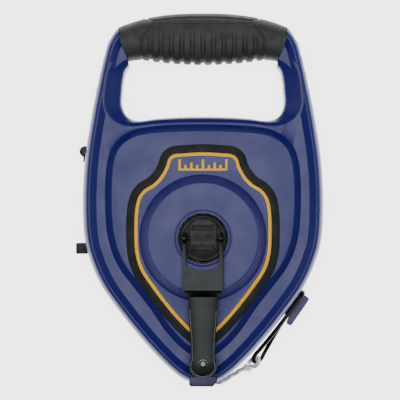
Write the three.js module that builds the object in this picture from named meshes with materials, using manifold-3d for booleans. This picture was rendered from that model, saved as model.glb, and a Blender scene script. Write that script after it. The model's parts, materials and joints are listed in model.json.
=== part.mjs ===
// A chalk-line reel: a teardrop case with a D handle, a geared spool of braided line, a folding crank,
// a hinged chalk-fill door and a wire end hook parked on a catch.
// Millimetres. The reel lies on its back: +Z out of the front face, +Y towards the handle.
// The origin is on the spool's axis, in the plane of the flat back.
import * as THREE from 'three';
import { mergeVertices } from 'three/addons/utils/BufferGeometryUtils.js';
import Module from 'manifold-3d';

const wasm = await Module();
wasm.setup();

// ---------------------------------------------------------------- driving dimensions
const GAP = 0.3; // between pieces that touch
const PARTING = 25; // height of the plane where the two shells meet
const WALL = 3;

// Heights of the front shell's steps.
const TERRACE = 41.5; // floor of the channel round the panel
const RIDGE = 46; // crest of the rim
const RIDGE_AT_GRIP = 42.4;
const PANEL = 46.5;
const DISC = 55; // gear housing
const COLLAR = 56.2;
// Insets of the rim's features from the silhouette.
const RIDGE_INSET = 5;
const CHANNEL_INSET = 9.4;
const PANEL_SLOPE = 4.6; // width of the slope up to the panel
const DISC_R = 37;
const DISC_FOOT_R = 42;

const HUB_R = 16;
const HUB_TOP = 58;
const BLOCK_TOP = 65;
const PIVOT_Z = 62; // crank arm's folding axis
const CRANK_LENGTH = 83; // hub axis to knob axis
const SHEET = 1.6; // crank arm's steel
const CHEEK = 2.6; // folded cheeks that hold the pivot pin
const KNOB_R = 8.6;
const KNOB_FOOT = 47.2;

const MODULE = 1.25;
const SUN_TEETH = 12;
const PLANET_TEETH = 18;
const RING_TEETH = SUN_TEETH + 2 * PLANET_TEETH;
const PLANET_ORBIT = (MODULE * (SUN_TEETH + PLANET_TEETH)) / 2;
const GEAR_BACK = 36;
const GEAR_FRONT = 43.5;

const AXLE_R = 3;
const SPOOL_BACK = 6;
const FLANGE = 2;
const WINDING_WIDTH = 22;
const FLANGE_R = 62;
const WINDING_R = 59;
const CORE_R = 18;

const LINE_D = 2.8;
const LINE_Z = 17; // height at which the line leaves the spool and the mouth
const HOOK_Z = PARTING;
const HOOK_WIRE_R = 1.4;
const HOOK_ANGLE = THREE.MathUtils.degToRad(55.2); // the parked hook's slope in the XY plane
const HOOK_TOP = new THREE.Vector2(68.3, -36.3);

const SCREW_PLACES = [[65, 60], [50.5, -44.5], [26, -71.5], [63, 100]]; // right half; mirrored

// ---------------------------------------------------------------- outlines, right half from top to bottom
const SILHOUETTE = [
  [0, 151.6], [22, 150.8], [40, 148], [50, 145.3], [56.6, 141.6], [61.4, 136.1], [64.8, 129.3], [66.9, 121.5],
  [69, 112.5], [71.4, 101], [73.7, 89.5], [75.7, 78], [77.4, 67.5], [79, 55.8], [80, 45.6], [80.7,
    32], [80.8, 18.6],
  [80.3, 6], [78.6, -6], [76, -14.5], [72.3, -24], [67.1, -34], [56, -49.6], [41.6, -67.5], [29.4, -81],
  [19.4, -90.4], [11.5, -95.8], [5, -97.6], [0, -97.8]
];
const PANEL_OUTLINE = [
  [0, 71.4], [20, 70.9], [36, 69.7], [45, 67.8], [52.5, 63.6], [57, 58], [59.6, 50], [60.7, 40], [61, 27],
  [60.6, 14], [59.3, 2], [56.4, -8.6], [51.5, -18.6], [44.6, -27.8], [32, -44], [21.4, -59.5], [12, -69.6],
  [5, -74.4], [0, -75.6]
];
const STRIPE_OUTLINE = [
  [0, 56.1], [13.2, 55.4], [19.3, 54.7], [22, 52.6], [23.8, 47.2], [27.7, 40.3], [32.7, 35.1], [38.4, 31.6],
  [41.8, 27.5], [43.6, 22.1], [44.5, 14.5], [44.7, 2], [44, -9.8], [41, -20.4], [33.4, -32.2], [22.6, -46.4],
  [11.5, -58.8], [4.2, -65], [0, -66.8]
];
const OPENING = [
  [0, 120.3], [24, 120.3], [40, 119.9], [47.4, 117.6], [52, 113], [53.8, 106], [54.6, 98], [54.9,
    90], [52.8, 83.8],
  [48.6, 80], [43, 78.8], [30, 80.3], [14, 81.2], [0, 81.4]
];

// ---------------------------------------------------------------- helpers
const v2 = (x, y) => new THREE.Vector2(x, y);

// A closed, mirrored outline through right-half points, as evenly spaced 2D points running clockwise from
// the top.
function mirrored(right, count) {
  const left = right.slice(1, -1).reverse().map(([x, y]) => [-x, y]);
  const points = [...right, ...left].map(([x, y]) => new THREE.Vector3(x, y, 0));
  const curve = new THREE.CatmullRomCurve3(points, true, 'centripetal');
  return curve.getSpacedPoints(count).slice(0, count).map((p) => v2(p.x, p.y));
}

// The outline moved inwards (or outwards, below zero) along its own normals.
function inset(points, distance) {
  return points.map((p, i) => {
    const before = points[(i + points.length - 1) % points.length];
    const after = points[(i + 1) % points.length];
    const t1 = p.clone().sub(before).normalize();
    const t2 = after.clone().sub(p).normalize();
    const t = t1.clone().add(t2).normalize();
    const inward = v2(t.y, -t.x); // clockwise outline
    return p.clone().addScaledVector(inward, distance / Math.max(0.5, t.dot(t1)));
  });
}

// A closed solid through rings that all have the same number of points; the end rings are capped flat.
function loft(rings) {
  const n = rings[0].length;
  const position = rings.flat().flatMap((p) => [p.x, p.y, p.z]);
  const index = [];
  for (let r = 0; r < rings.length - 1; r++) {
    for (let i = 0; i < n; i++) {
      const j = (i + 1) % n;
      const [a, b, c, d] = [r * n + i, r * n + j, (r + 1) * n + j, (r + 1) * n + i];
      index.push(a, b, c, a, c, d);
    }
  }
  for (const [ring, offset, along] of [[rings[0], 0, false], [rings.at(-1), (rings.length - 1) * n, true]]) {
    const flat = capPlane(ring);
    const turn = Math.sign(THREE.ShapeUtils.area(flat));
    for (const [a, b, c] of THREE.ShapeUtils.triangulateShape(flat, [])) {
      const same = Math.sign(THREE.ShapeUtils.area([flat[a], flat[b], flat[c]])) === turn;
      index.push(offset + a, ...(same === along ? [offset + b, offset + c] : [offset + c, offset + b]));
    }
  }
  const geometry = new THREE.BufferGeometry();
  geometry.setAttribute('position', new THREE.Float32BufferAttribute(position, 3));
  geometry.setIndex(index);
  return outward(geometry);
}

// A ring's points in the two axes it spreads over most, for capping.
function capPlane(ring) {
  const box = new THREE.Box3().setFromPoints(ring);
  const size = box.getSize(new THREE.Vector3());
  if (size.x <= size.y && size.x <= size.z) return ring.map((p) => v2(p.y, p.z));
  if (size.y <= size.x && size.y <= size.z) return ring.map((p) => v2(p.z, p.x));
  return ring.map((p) => v2(p.x, p.y));
}

const atHeight = (points, z) => points.map((p) => new THREE.Vector3(p.x, p.y, z));

function meshed(geometry) {
  const bare = geometry.clone();
  bare.deleteAttribute('normal');
  bare.deleteAttribute('uv');
  return mergeVertices(bare, 1e-4);
}

function outward(geometry) {
  const merged = meshed(geometry);
  let volume = 0;
  const p = merged.attributes.position;
  const [a, b, c] = [new THREE.Vector3(), new THREE.Vector3(), new THREE.Vector3()];
  const index = merged.index.array;
  for (let i = 0; i < index.length; i += 3) {
    a.fromBufferAttribute(p, index[i]);
    b.fromBufferAttribute(p, index[i + 1]);
    c.fromBufferAttribute(p, index[i + 2]);
    volume += a.dot(b.cross(c));
  }
  if (volume < 0) {
    for (let i = 0; i < index.length; i += 3) [index[i + 1], index[i + 2]] = [index[i + 2], index[i + 1]];
  }
  return merged;
}

function solid(geometry) {
  const merged = outward(geometry);
  const mesh = new wasm.Mesh({
    numProp: 3,
    vertProperties: new Float32Array(merged.attributes.position.array),
    triVerts: new Uint32Array(merged.index.array)
  });
  return new wasm.Manifold(mesh);
}

function geometryOf(manifold) {
  const mesh = manifold.getMesh();
  const position = new Float32Array(mesh.numVert * 3);
  for (let i = 0; i < mesh.numVert; i++) {
    position.set(mesh.vertProperties.subarray(i * mesh.numProp, i * mesh.numProp + 3), i * 3);
  }
  const geometry = new THREE.BufferGeometry();
  geometry.setAttribute('position', new THREE.BufferAttribute(position, 3));
  geometry.setIndex(new THREE.BufferAttribute(new Uint32Array(mesh.triVerts), 1));
  return geometry;
}

function prism(points, z0, z1, holes = []) {
  const shape = new THREE.Shape(THREE.ShapeUtils.isClockWise(points) ? [...points].reverse() : points);
  shape.holes = holes.map((h) => new THREE.Path(h));
  return new THREE.ExtrudeGeometry(shape, { depth: z1 - z0, bevelEnabled: false }).translate(0, 0, z0);
}

// A solid of revolution about Z through (x, y), from [radius, height] points that start and end on the axis
// or close on themselves.
function turned(profile, x = 0, y = 0, segments = 32) {
  const geometry = new THREE.LatheGeometry(profile.map(([r, z]) => v2(r, z)), segments);
  return geometry.rotateX(Math.PI / 2).translate(x, y, 0);
}

const drum = (r, z0, z1, x = 0, y = 0, segments = 32) =>
  turned([[0, z0], [r, z0], [r, z1], [0, z1]], x, y, segments);
const ringOf = (r0, r1, z0, z1, x = 0, y = 0, segments = 32) =>
  turned([[r0, z0], [r1, z0], [r1, z1], [r0, z1], [r0, z0]], x, y, segments);
const block = (x0, x1, y0, y1, z0, z1) =>
  new THREE.BoxGeometry(x1 - x0, y1 - y0, z1 - z0).translate((x0 + x1) / 2, (y0 + y1) / 2, (z0 + z1) / 2);

// A round bar along a curve.
function bar(curve, radius, steps, sides = 8) {
  const section = new THREE.Shape();
  for (let i = 0; i < sides; i++) {
    const a = (2 * Math.PI * i) / sides;
    section[i ? 'lineTo' : 'moveTo'](radius * Math.cos(a), radius * Math.sin(a));
  }
  return new THREE.ExtrudeGeometry(section, { steps, extrudePath: curve, bevelEnabled: false });
}

const cut = (base, ...tools) => tools.reduce((s, t) => s.subtract(solid(t)), solid(base));
const bothSides = (make) => [1, -1].map(make);

// ---------------------------------------------------------------- finishes
const finish = (color, roughness, metalness = 0) =>
  new THREE.MeshStandardMaterial({ color, roughness, metalness });
const FINISH = {
  blue: finish(0x34387c, 0.42),
  rubber: finish(0x2b2c2b, 0.75),
  yellow: finish(0xe3ad2e, 0.5),
  blackPlastic: finish(0x232423, 0.5),
  whitePlastic: finish(0xd9d7cf, 0.5),
  blackSteel: finish(0x1b1c1d, 0.35, 0.4),
  steel: finish(0x9a9c9f, 0.35, 1),
  zinc: finish(0xb9b9b4, 0.4, 1),
  felt: finish(0xcfc8b8, 0.95),
  line: finish(0xd8dade, 0.9)
};

const reel = new THREE.Group();
function add(name, shape, material) {
  const geometry = shape.isBufferGeometry ? outward(shape) : geometryOf(shape);
  const mesh = new THREE.Mesh(geometry, material);
  mesh.name = name;
  reel.add(mesh);
  return mesh;
}

// ---------------------------------------------------------------- case shells
const POINTS = 64;
const silhouette = mirrored(SILHOUETTE, POINTS);
const panelTop = mirrored(PANEL_OUTLINE, 48);
const opening = mirrored(OPENING, 40);
const smooth = (low, high, x) => THREE.MathUtils.smoothstep(x, low, high);

// The rim's crest comes down along the arms to meet the grip.
function rimRing(distance, height) {
  return inset(silhouette, distance).map((p) => {
    const share = (height - PARTING) / (RIDGE - PARTING);
    const drop = (RIDGE - RIDGE_AT_GRIP) * smooth(76, 132, p.y) * Math.max(0, share);
    return new THREE.Vector3(p.x, p.y, height - drop);
  });
}

const rimProfile = [[0, PARTING], [0, 37], [1, 41], [2.8, 44.6], [RIDGE_INSET, RIDGE]];
const frontBody = loft([
  ...rimProfile.map(([d, z]) => rimRing(d, z)),
  atHeight(inset(silhouette, CHANNEL_INSET), TERRACE)
]);
const backProfile = [[0, PARTING], [0, 13], [1.4, 7.6], [4.6, 3.6], [9.4, 2]];
const backBody = loft(backProfile.map(([d, z]) => atHeight(inset(silhouette, d), z)).reverse());
const frontPanel = loft([
  atHeight(inset(panelTop, -PANEL_SLOPE - 1.5), TERRACE - 1.5),
  atHeight(inset(panelTop, -PANEL_SLOPE), TERRACE),
  atHeight(inset(panelTop, -0.5), PANEL - 0.4),
  atHeight(inset(panelTop, 0.4), PANEL)
]);
const backPanel = loft([atHeight(inset(panelTop, 1.2), 0), atHeight(inset(panelTop, -1), 2.2),
  atHeight(inset(panelTop, -1), 4)]);

// The handle opening, flared where the faces roll off into it.
const ROLL = 7;
function flare(face, direction) {
  const rings = [];
  for (const angle of [0, 45, 90]) {
    const a = THREE.MathUtils.degToRad(angle);
    rings.push(atHeight(inset(opening, -ROLL * (1 - Math.cos(a))),
      face - direction * ROLL * (1 - Math.sin(a))));
  }
  const past = atHeight(inset(opening, -ROLL), face + direction * 12);
  const start = atHeight(opening, PARTING - direction);
  return loft([start, ...rings, past]);
}

// The grip's envelope: rounded sections along the handle.
const gripTop = (x) => 151.6 - 9.4 * (Math.abs(x) / 56.6) ** 2.6;
const gripBottom = (x) => 116.8 + 3.5 * Math.min(1, Math.abs(x) / 42) ** 2 - 1.6 * smooth(42, 56,
  Math.abs(x));
const GRIP_DEPTH = 17.4;
const GRIP_WALL = 3.2;
function gripSolid(shrink, half) {
  const stations = 13;
  const rings = [];
  for (let s = 0; s < stations; s++) {
    const x = -half + (2 * half * s) / (stations - 1);
    const [top, bottom] = [gripTop(x) - shrink, gripBottom(x) + shrink];
    const ring = [];
    for (let i = 0; i < 14; i++) {
      const a = (2 * Math.PI * i) / 14;
      const round = (value) => Math.sign(value) * Math.abs(value) ** (2 / 2.7);
      const y = (top + bottom) / 2 + ((top - bottom) / 2) * round(Math.cos(a));
      ring.push(new THREE.Vector3(x, y, PARTING + (GRIP_DEPTH - shrink) * round(Math.sin(a))));
    }
    rings.push(ring);
  }
  return solid(loft(rings));
}
function gripZone(back) {
  const side = [[56.6 - back, 170], [56.6 - back, 141], [55.8 - back, 132], [50.2 - back, 118.5],
    [50.2 - back, 100]];
  const left = side.map(([x, y]) => [-x, y]).reverse();
  return solid(prism([...side, ...left].map(([x, y]) => v2(x, y)), -20, 80));
}
const gripCore = gripSolid(GRIP_WALL, 60);
const aboveParting = solid(block(-120, 120, -140, 180, PARTING, 90));
const belowParting = solid(block(-120, 120, -140, 180, -10, PARTING));

// Fill door on the left side: its place along the side wall.
const DOOR = { top: 54, bottom: -3.6, back: 14.5, front: 35.5, thickness: 2.8, hingeX: -79.5, hingeY: 58.1 };
const leftEdge = silhouette.filter((p) => p.x < -50 && p.y < 66 && p.y > -20); // runs upwards
function sideStrip(outer, inner, low, high) {
  const path = leftEdge.filter((p) => p.y > low + 1 && p.y < high - 1);
  const at = (y) => {
    const i = leftEdge.findIndex((p) => p.y > y);
    const [a, b] = [leftEdge[i - 1], leftEdge[i]];
    return v2(THREE.MathUtils.mapLinear(y, a.y, b.y, a.x, b.x), y);
  };
  const edge = [at(low), ...path, at(high)];
  const out = edge.map((p) => v2(p.x + outer, p.y));
  const back = edge.map((p) => v2(p.x + inner, p.y)).reverse();
  return [...out, ...back];
}

// Line guide block at the tip, and the hole in the tip that holds it.
const GUIDE = { half: 9.5, top: -88.6, step: -92.4, bottom: -99.6, back: 8, middle: 40, front: 42.8 };
const guideOutline = (top, grow, mouth) => [
  v2(-GUIDE.half - grow, top + grow), v2(GUIDE.half + grow, top + grow),
  v2(GUIDE.half + grow, mouth ? -96.4 : GUIDE.bottom - grow), v2(mouth ? 6.6 : GUIDE.half + grow,
    GUIDE.bottom - grow),
  v2(-GUIDE.half + 1.2 - grow, GUIDE.bottom - grow), v2(-GUIDE.half - grow, GUIDE.bottom + 1.2 - grow)
];

// Hook catch: a stem and an outer plate beside the right edge. u runs up the hook, n points away from the
// case.
const along = v2(Math.cos(HOOK_ANGLE), Math.sin(HOOK_ANGLE));
const away = v2(Math.sin(HOOK_ANGLE), -Math.cos(HOOK_ANGLE));
const hookPoint = (u, n) => HOOK_TOP.clone().addScaledVector(along, u).addScaledVector(away, n);
const CATCH = { stemTop: -7.4, stemBottom: -20, plateTop: -1.8, plateBottom: -24.5, inner: 2, outer: 5.9,
  half: 7 };
const catchFoot = (grow) =>
  prism([hookPoint(CATCH.stemTop + grow, 4), hookPoint(CATCH.stemBottom - grow, 4),
    hookPoint(CATCH.stemBottom - grow, -7 - grow), hookPoint(CATCH.stemTop + grow, -7 - grow)],
  PARTING - 5 - grow, PARTING + 5 + grow);
const catchFlange = (grow) =>
  prism([hookPoint(CATCH.stemTop + 2 + grow, -5.4 + grow),
    hookPoint(CATCH.stemBottom - 2 - grow, -5.4 + grow),
    hookPoint(CATCH.stemBottom - 2 - grow, -7.4 - grow), hookPoint(CATCH.stemTop + 2 + grow, -7.4 - grow)],
  PARTING - 7 - grow, PARTING + 7 + grow);

const cavityFront = loft([[3.2, PARTING - 1], [3.2, 33.5],
  [8, 38.4]].map(([d, z]) => atHeight(inset(silhouette, d), z)));
const cavityBack = loft([[12, 5], [6.2, 7.4], [3.2, 13],
  [3.2, PARTING + 1]].map(([d, z]) => atHeight(inset(silhouette, d), z)));
const bodyOnly = block(-100, 100, GUIDE.top - 0.2, 74, -10, 90);
const screwPlaces = SCREW_PLACES.flatMap(([x, y]) => [[x, y], [-x, y]]);
const BOSS_R = 3.8;

function shellCuts(shell, side) {
  const front = side === 'front';
  let s = shell;
  s = s.subtract(solid(flare(front ? TERRACE : 2, front ? 1 : -1))).subtract(gripZone(0));
  s = s.add(gripCore.intersect(front ? aboveParting : belowParting));
  s = s.subtract(solid(block(-44, 44, 126.5, 140.5, PARTING - 11, PARTING + 11)));
  let cavity = solid(front ? cavityFront : cavityBack).intersect(solid(bodyOnly));
  if (front) {
    cavity = cavity.add(solid(prism(inset(panelTop, 3.2), 38, PANEL - WALL)).intersect(solid(bodyOnly)));
    cavity = cavity.add(solid(drum(DISC_R - 1.1, 40, DISC - WALL, 0, 0, 32)));
  } else {
    cavity = cavity.add(solid(prism(inset(panelTop, 4), WALL, 6)));
  }
  for (const [x, y] of screwPlaces) {
    if (y > 80) continue;
    cavity = cavity.subtract(solid(drum(BOSS_R, -5, 90, x, y, 8)));
  }
  s = s.subtract(cavity);
  // Chalk hole behind the fill door: a thick frame, the seal's groove and the hole itself.
  const frame = solid(prism(sideStrip(DOOR.thickness, 8, -4, 53), DOOR.back - 3, DOOR.front + 3));
  s = s.add(frame.intersect(front ? aboveParting : belowParting));
  const recess = sideStrip(-4, DOOR.thickness + 0.4, DOOR.bottom - 8, DOOR.top + 0.5);
  s = s.subtract(solid(prism(recess, DOOR.back - 0.4, DOOR.front + 0.4)));
  s = s.subtract(solid(prism(sideStrip(2, 5.1, 2.5, 48), DOOR.back + 0.7, DOOR.front - 0.7)));
  s = s.subtract(solid(prism(sideStrip(2, 10, 5.5, 45), DOOR.back + 3.5, DOOR.front - 3.5)));
  s = s.subtract(solid(drum(4.4, DOOR.back - 0.4, DOOR.front + 0.4, DOOR.hingeX, DOOR.hingeY, 16)));
  s = s.subtract(solid(drum(1.4, DOOR.back - 3.4, DOOR.front + 3.4, DOOR.hingeX, DOOR.hingeY, 12)));
  s = s.subtract(solid(prism(guideOutline(GUIDE.top, GAP, false), GUIDE.back - GAP, GUIDE.middle + GAP)));
  s = s.subtract(solid(prism(guideOutline(GUIDE.step, GAP, false), GUIDE.back - GAP, GUIDE.front + 10)));
  s = s.subtract(solid(catchFoot(GAP))).subtract(solid(catchFlange(GAP)));
  return s;
}

let frontShell = solid(frontBody).add(solid(frontPanel));
frontShell = frontShell.add(solid(turned(
  [[0, 43], [DISC_FOOT_R + 1, 43], [DISC_FOOT_R, PANEL], [DISC_R + 1, DISC - 1], [DISC_R, DISC - 0.25],
    [DISC_R - 1, DISC], [0, DISC]],
  0, 0, 40)));
frontShell = frontShell.add(solid(turned(
  [[0, DISC - 1], [19.4, DISC - 1], [19.4, COLLAR - 0.5], [18.6, COLLAR], [0, COLLAR]], 0, 0, 32)));
frontShell = shellCuts(frontShell, 'front');
frontShell = frontShell.subtract(solid(drum(HUB_R + 0.5, 40, 70, 0, 0, 32)));
// Finger dish under the parked knob.
frontShell = frontShell.subtract(solid(turned(
  [[0, TERRACE - 0.6], [9, TERRACE - 0.6], [11.6, PANEL + 0.2], [11.6, 60], [0, 60]], 0, -CRANK_LENGTH, 32)));
for (const [x, y] of screwPlaces) {
  frontShell = frontShell.subtract(solid(drum(1.7, PARTING - 1, y > 80 ? 37 : 36.5, x, y, 8)));
}
const stripe = mirrored(STRIPE_OUTLINE, 60);
const STRIPE = 1.1; // half width of the printed stripe
const BAND = 6.4; // stripe's centre to the band's outer edge
const BAND_DEPTH = 1;
frontShell = frontShell.subtract(solid(prism(inset(stripe, -BAND - GAP), PANEL - BAND_DEPTH - GAP, 60,
  [inset(stripe, STRIPE + GAP)]))
  .subtract(solid(drum(DISC_FOOT_R + 0.4, 40, 70, 0, 0, 40))));
const BADGE = { x0: -16.4, x1: 16.4, y0: 45, y1: 52.6 };
frontShell = frontShell.subtract(solid(block(BADGE.x0 - GAP, BADGE.x1 + GAP, BADGE.y0 - GAP,
  BADGE.y1 + GAP, PANEL - 0.8, 60)));
add('front_shell', frontShell, FINISH.blue);

let backShell = shellCuts(solid(backBody).add(solid(backPanel)), 'back');
for (const [x, y] of screwPlaces) {
  backShell = backShell.subtract(solid(drum(2, -5, 30, x, y, 8))).subtract(solid(drum(3.6, -5, 8, x, y, 12)));
}
// Axle socket and its boss.
backShell = backShell.add(solid(drum(7, 2, 4.4, 0, 0, 24))).subtract(solid(drum(AXLE_R + 0.3, 1.6, 10, 0,
  0, 24)));
add('back_shell', backShell, FINISH.blue);

for (const [name, keep] of [['grip_front', aboveParting], ['grip_back', belowParting]]) {
  const clear = solid(block(-120, 120, 60, 180, PARTING - 0.15, PARTING + 0.15));
  const half = gripSolid(0, 58).intersect(gripZone(GAP)).subtract(gripSolid(GRIP_WALL - GAP,
    60)).intersect(keep).subtract(clear);
  add(name, half, FINISH.rubber);
}

// ---------------------------------------------------------------- front trim
add('trim_band', prism(inset(stripe, -BAND), PANEL - BAND_DEPTH, PANEL + 0.4,
  [inset(stripe, -STRIPE - GAP)]), FINISH.rubber);
add('trim_stripe', prism(inset(stripe, -STRIPE), PANEL - BAND_DEPTH, PANEL + 0.2,
  [inset(stripe, STRIPE)]), FINISH.yellow);
function tickBadge() {
  let s = solid(block(BADGE.x0, BADGE.x1, BADGE.y0, BADGE.y0 + 1.4, PANEL - 0.5, PANEL + 0.2));
  const ticks = 9;
  for (let i = 0; i < ticks; i++) {
    const x = THREE.MathUtils.lerp(BADGE.x0 + 0.8, BADGE.x1 - 0.8, i / (ticks - 1));
    const top = i % 4 === 0 ? BADGE.y1 : i % 2 === 0 ? BADGE.y1 - 2.2 : BADGE.y1 - 3.8;
    s = s.add(solid(block(x - 0.8, x + 0.8, BADGE.y0 + 0.5, top, PANEL - 0.5, PANEL + 0.2)));
  }
  return s;
}
add('tick_badge', tickBadge(), FINISH.yellow);

// ---------------------------------------------------------------- line outlet
const MOUTH = new THREE.Vector3(8.1, -98.1, LINE_Z);
const MOUTH_ANGLE = THREE.MathUtils.degToRad(-24);
const mouthWay = new THREE.Vector3(Math.cos(MOUTH_ANGLE), Math.sin(MOUTH_ANGLE), 0);
const guideIn = new THREE.Vector3(-1.2, -90.2, LINE_Z);
const spoolAngle = THREE.MathUtils.degToRad(-145);
const payOut = new THREE.Vector3((WINDING_R + LINE_D / 2 + 0.4) * Math.cos(spoolAngle),
  (WINDING_R + LINE_D / 2 + 0.4) * Math.sin(spoolAngle), LINE_Z);
const towardsSpool = payOut.clone().sub(guideIn).normalize();
const throat = new THREE.CatmullRomCurve3([guideIn.clone().addScaledVector(towardsSpool, 3.4), guideIn,
  new THREE.Vector3(2.2, -94.6, LINE_Z), MOUTH.clone().addScaledVector(mouthWay,
    -1.4), MOUTH.clone().addScaledVector(mouthWay, 2)], false, 'centripetal');
let guide = solid(prism(guideOutline(GUIDE.top, 0, true), GUIDE.back, GUIDE.middle));
guide = guide.add(solid(prism(guideOutline(GUIDE.step, 0, true), GUIDE.back, GUIDE.front)));
guide = guide.subtract(solid(bar(throat, LINE_D / 2 + 0.6, 14, 12)));
guide = guide.subtract(solid(block(-20, 20, -90.4, -80, LINE_Z - 3, LINE_Z + 3)));
add('line_guide', guide, FINISH.blue);
const felt = (z0, z1) => block(-8, 3, -87, -81.6, z0, z1);
add('felt_wiper_front', felt(LINE_Z + LINE_D / 2 + GAP, 23.4), FINISH.felt);
add('felt_wiper_back', felt(10.6, LINE_Z - LINE_D / 2 - GAP), FINISH.felt);
const runStart = payOut.clone();
const runCurve = new THREE.CatmullRomCurve3([runStart, runStart.clone().lerp(guideIn, 0.35),
  runStart.clone().lerp(guideIn, 0.7), guideIn,
  new THREE.Vector3(2.2, -94.6, LINE_Z), MOUTH.clone().addScaledVector(mouthWay,
    -0.4)], false, 'centripetal');
add('line_run', bar(runCurve, LINE_D / 2, 30), FINISH.line);

// ---------------------------------------------------------------- catch, hook and the free line
let hookCatch = solid(catchFoot(0)).add(solid(catchFlange(0)));
const plate = [hookPoint(CATCH.plateTop, CATCH.inner), hookPoint(CATCH.plateTop, CATCH.outer - 1),
  hookPoint(CATCH.plateTop - 1, CATCH.outer),
  hookPoint(CATCH.plateBottom + 1, CATCH.outer), hookPoint(CATCH.plateBottom,
    CATCH.outer - 1), hookPoint(CATCH.plateBottom, CATCH.inner + 0.6),
  hookPoint(CATCH.stemBottom - 1, CATCH.inner)];
hookCatch = hookCatch.add(solid(prism(plate, HOOK_Z - CATCH.half, HOOK_Z + CATCH.half)));
add('hook_catch', hookCatch, FINISH.blue);

// The hook's wire as [u, z, n] down one side; the other side is its mirror image through the hook's own axis.
const hookSide = [[-5.6, 0, 0], [-4.6, 4, 0], [-1.2, 7.4, 0], [-3.6, 10.2, -0.1], [-14, 10.4, -0.4],
  [-28, 9.6, -0.8], [-40, 7, -1.5],
  [-49, 4.1, -2.1], [-54.6, 3, -2.6], [-57.4, 1.7, -1.7]];
const EYE_END = -58.4;
const hookLoop = [...hookSide, [EYE_END, 0, 0],
  ...hookSide.slice(1).reverse().map(([u, z, n]) => [u, -z, -n])];
const atHook = ([u, z, n]) => {
  const p = hookPoint(u, n);
  return new THREE.Vector3(p.x, p.y, HOOK_Z + z);
};
const hookPath = new THREE.CatmullRomCurve3(hookLoop.map(atHook), true, 'centripetal');
add('line_hook', bar(hookPath, HOOK_WIRE_R, 56), FINISH.blackSteel);

// The line is tied round the eye's closing bend.
const EYE = atHook([EYE_END, 0, 0]);
const knotWay = new THREE.Vector3(-0.8, -0.6, -0.16).normalize();
const acrossEye = new THREE.Vector3(away.x, away.y,
  0).multiplyScalar(0.74).add(new THREE.Vector3(0, 0, 0.67));
const loopSide = acrossEye.clone().addScaledVector(knotWay, -acrossEye.dot(knotWay)).normalize();
const LOOP_R = 3.15;
const loopPoints = [];
for (let i = 0; i < 20; i++) {
  const a = (2 * Math.PI * i) / 20;
  loopPoints.push(EYE.clone().addScaledVector(knotWay, LOOP_R * Math.cos(a)).addScaledVector(loopSide,
    LOOP_R * Math.sin(a)));
}
add('line_loop', bar(new THREE.CatmullRomCurve3(loopPoints, true), LINE_D / 2, 20), FINISH.line);
const KNOT = EYE.clone().addScaledVector(knotWay, LOOP_R + LINE_D / 2 + 2.1);
add('line_knot', new THREE.SphereGeometry(2.6, 12, 8).scale(0.62, 1.15,
  1.15).rotateZ(0.64).translate(KNOT.x, KNOT.y, KNOT.z), FINISH.line);
// Free stretch of line from the mouth to the knot.
const FREE_LINE = [
  [8.4, -98.25, 17], [10.2, -98.75, 17.1], [12, -98.55, 17.4], [13.8, -97.7, 17.9], [15.6, -96.5,
    18.5], [17.4, -95.3, 19.1],
  [19.2, -94.1, 19.8], [21, -92.9, 20.5], [22.8, -91.75, 21.3], [24.6, -90.6, 22], [26.4, -89.6, 22.8]
];
const freeCurve = new THREE.CatmullRomCurve3(FREE_LINE.map((p) => new THREE.Vector3(...p)), false,
  'centripetal');
add('line_free', bar(freeCurve, LINE_D / 2, 12), FINISH.line);

// ---------------------------------------------------------------- fill door
const knuckleBack = 17;
const knuckleFront = 33;
let door = solid(prism(sideStrip(0, DOOR.thickness, DOOR.bottom - 7.2, DOOR.top), DOOR.back, DOOR.front));
door = door.add(solid(drum(3.7, knuckleBack, knuckleFront, DOOR.hingeX, DOOR.hingeY, 16)));
door = door.add(solid(block(DOOR.hingeX - 1.2, DOOR.hingeX + 2.2, DOOR.top - 3, DOOR.hingeY - 2,
  knuckleBack, knuckleFront)));
door = door.add(solid(block(-85.7, -78, -11, -3.6, knuckleBack + 1, knuckleFront - 1)));
door = door.subtract(solid(drum(1.4, 0, 60, DOOR.hingeX, DOOR.hingeY, 12)));
add('fill_door', door, FINISH.blackPlastic);
let seal = solid(prism(sideStrip(DOOR.thickness + 0.3, 4.8, 2.8, 47.7), DOOR.back + 1, DOOR.front - 1));
seal = seal.subtract(solid(prism(sideStrip(0, 12, 5.2, 45.3), DOOR.back + 3.4, DOOR.front - 3.4)));
add('door_seal', seal, FINISH.rubber);
add('door_hinge_pin', drum(1.2, DOOR.back - 3, DOOR.front + 3, DOOR.hingeX, DOOR.hingeY, 12), FINISH.steel);

// ---------------------------------------------------------------- spool
const spoolFront = SPOOL_BACK + FLANGE + WINDING_WIDTH;
const boreR = AXLE_R + 0.12;
add('spool_axle', turned([[0, 1.9], [AXLE_R, 1.9], [AXLE_R, 46.6], [AXLE_R - 0.6, 47.2], [0, 47.2]], 0, 0,
  24), FINISH.steel);
const flangeWindows = [0, 1, 2, 3, 4].map((i) => {
  const a = (2 * Math.PI * i) / 5 + Math.PI / 2;
  return drum(7, -5, 60, 38 * Math.cos(a), 38 * Math.sin(a), 10);
});
const backFlange = cut(ringOf(CORE_R - 4, FLANGE_R, SPOOL_BACK, SPOOL_BACK + FLANGE - GAP / 2, 0, 0, 36),
  ...flangeWindows);
add('spool_back_flange', backFlange, FINISH.whitePlastic);
const frontFlange = cut(ringOf(CORE_R - 4, FLANGE_R, spoolFront + GAP / 2, spoolFront + FLANGE, 0, 0, 36),
  ...flangeWindows);
add('spool_front_flange', frontFlange, FINISH.whitePlastic);
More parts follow.
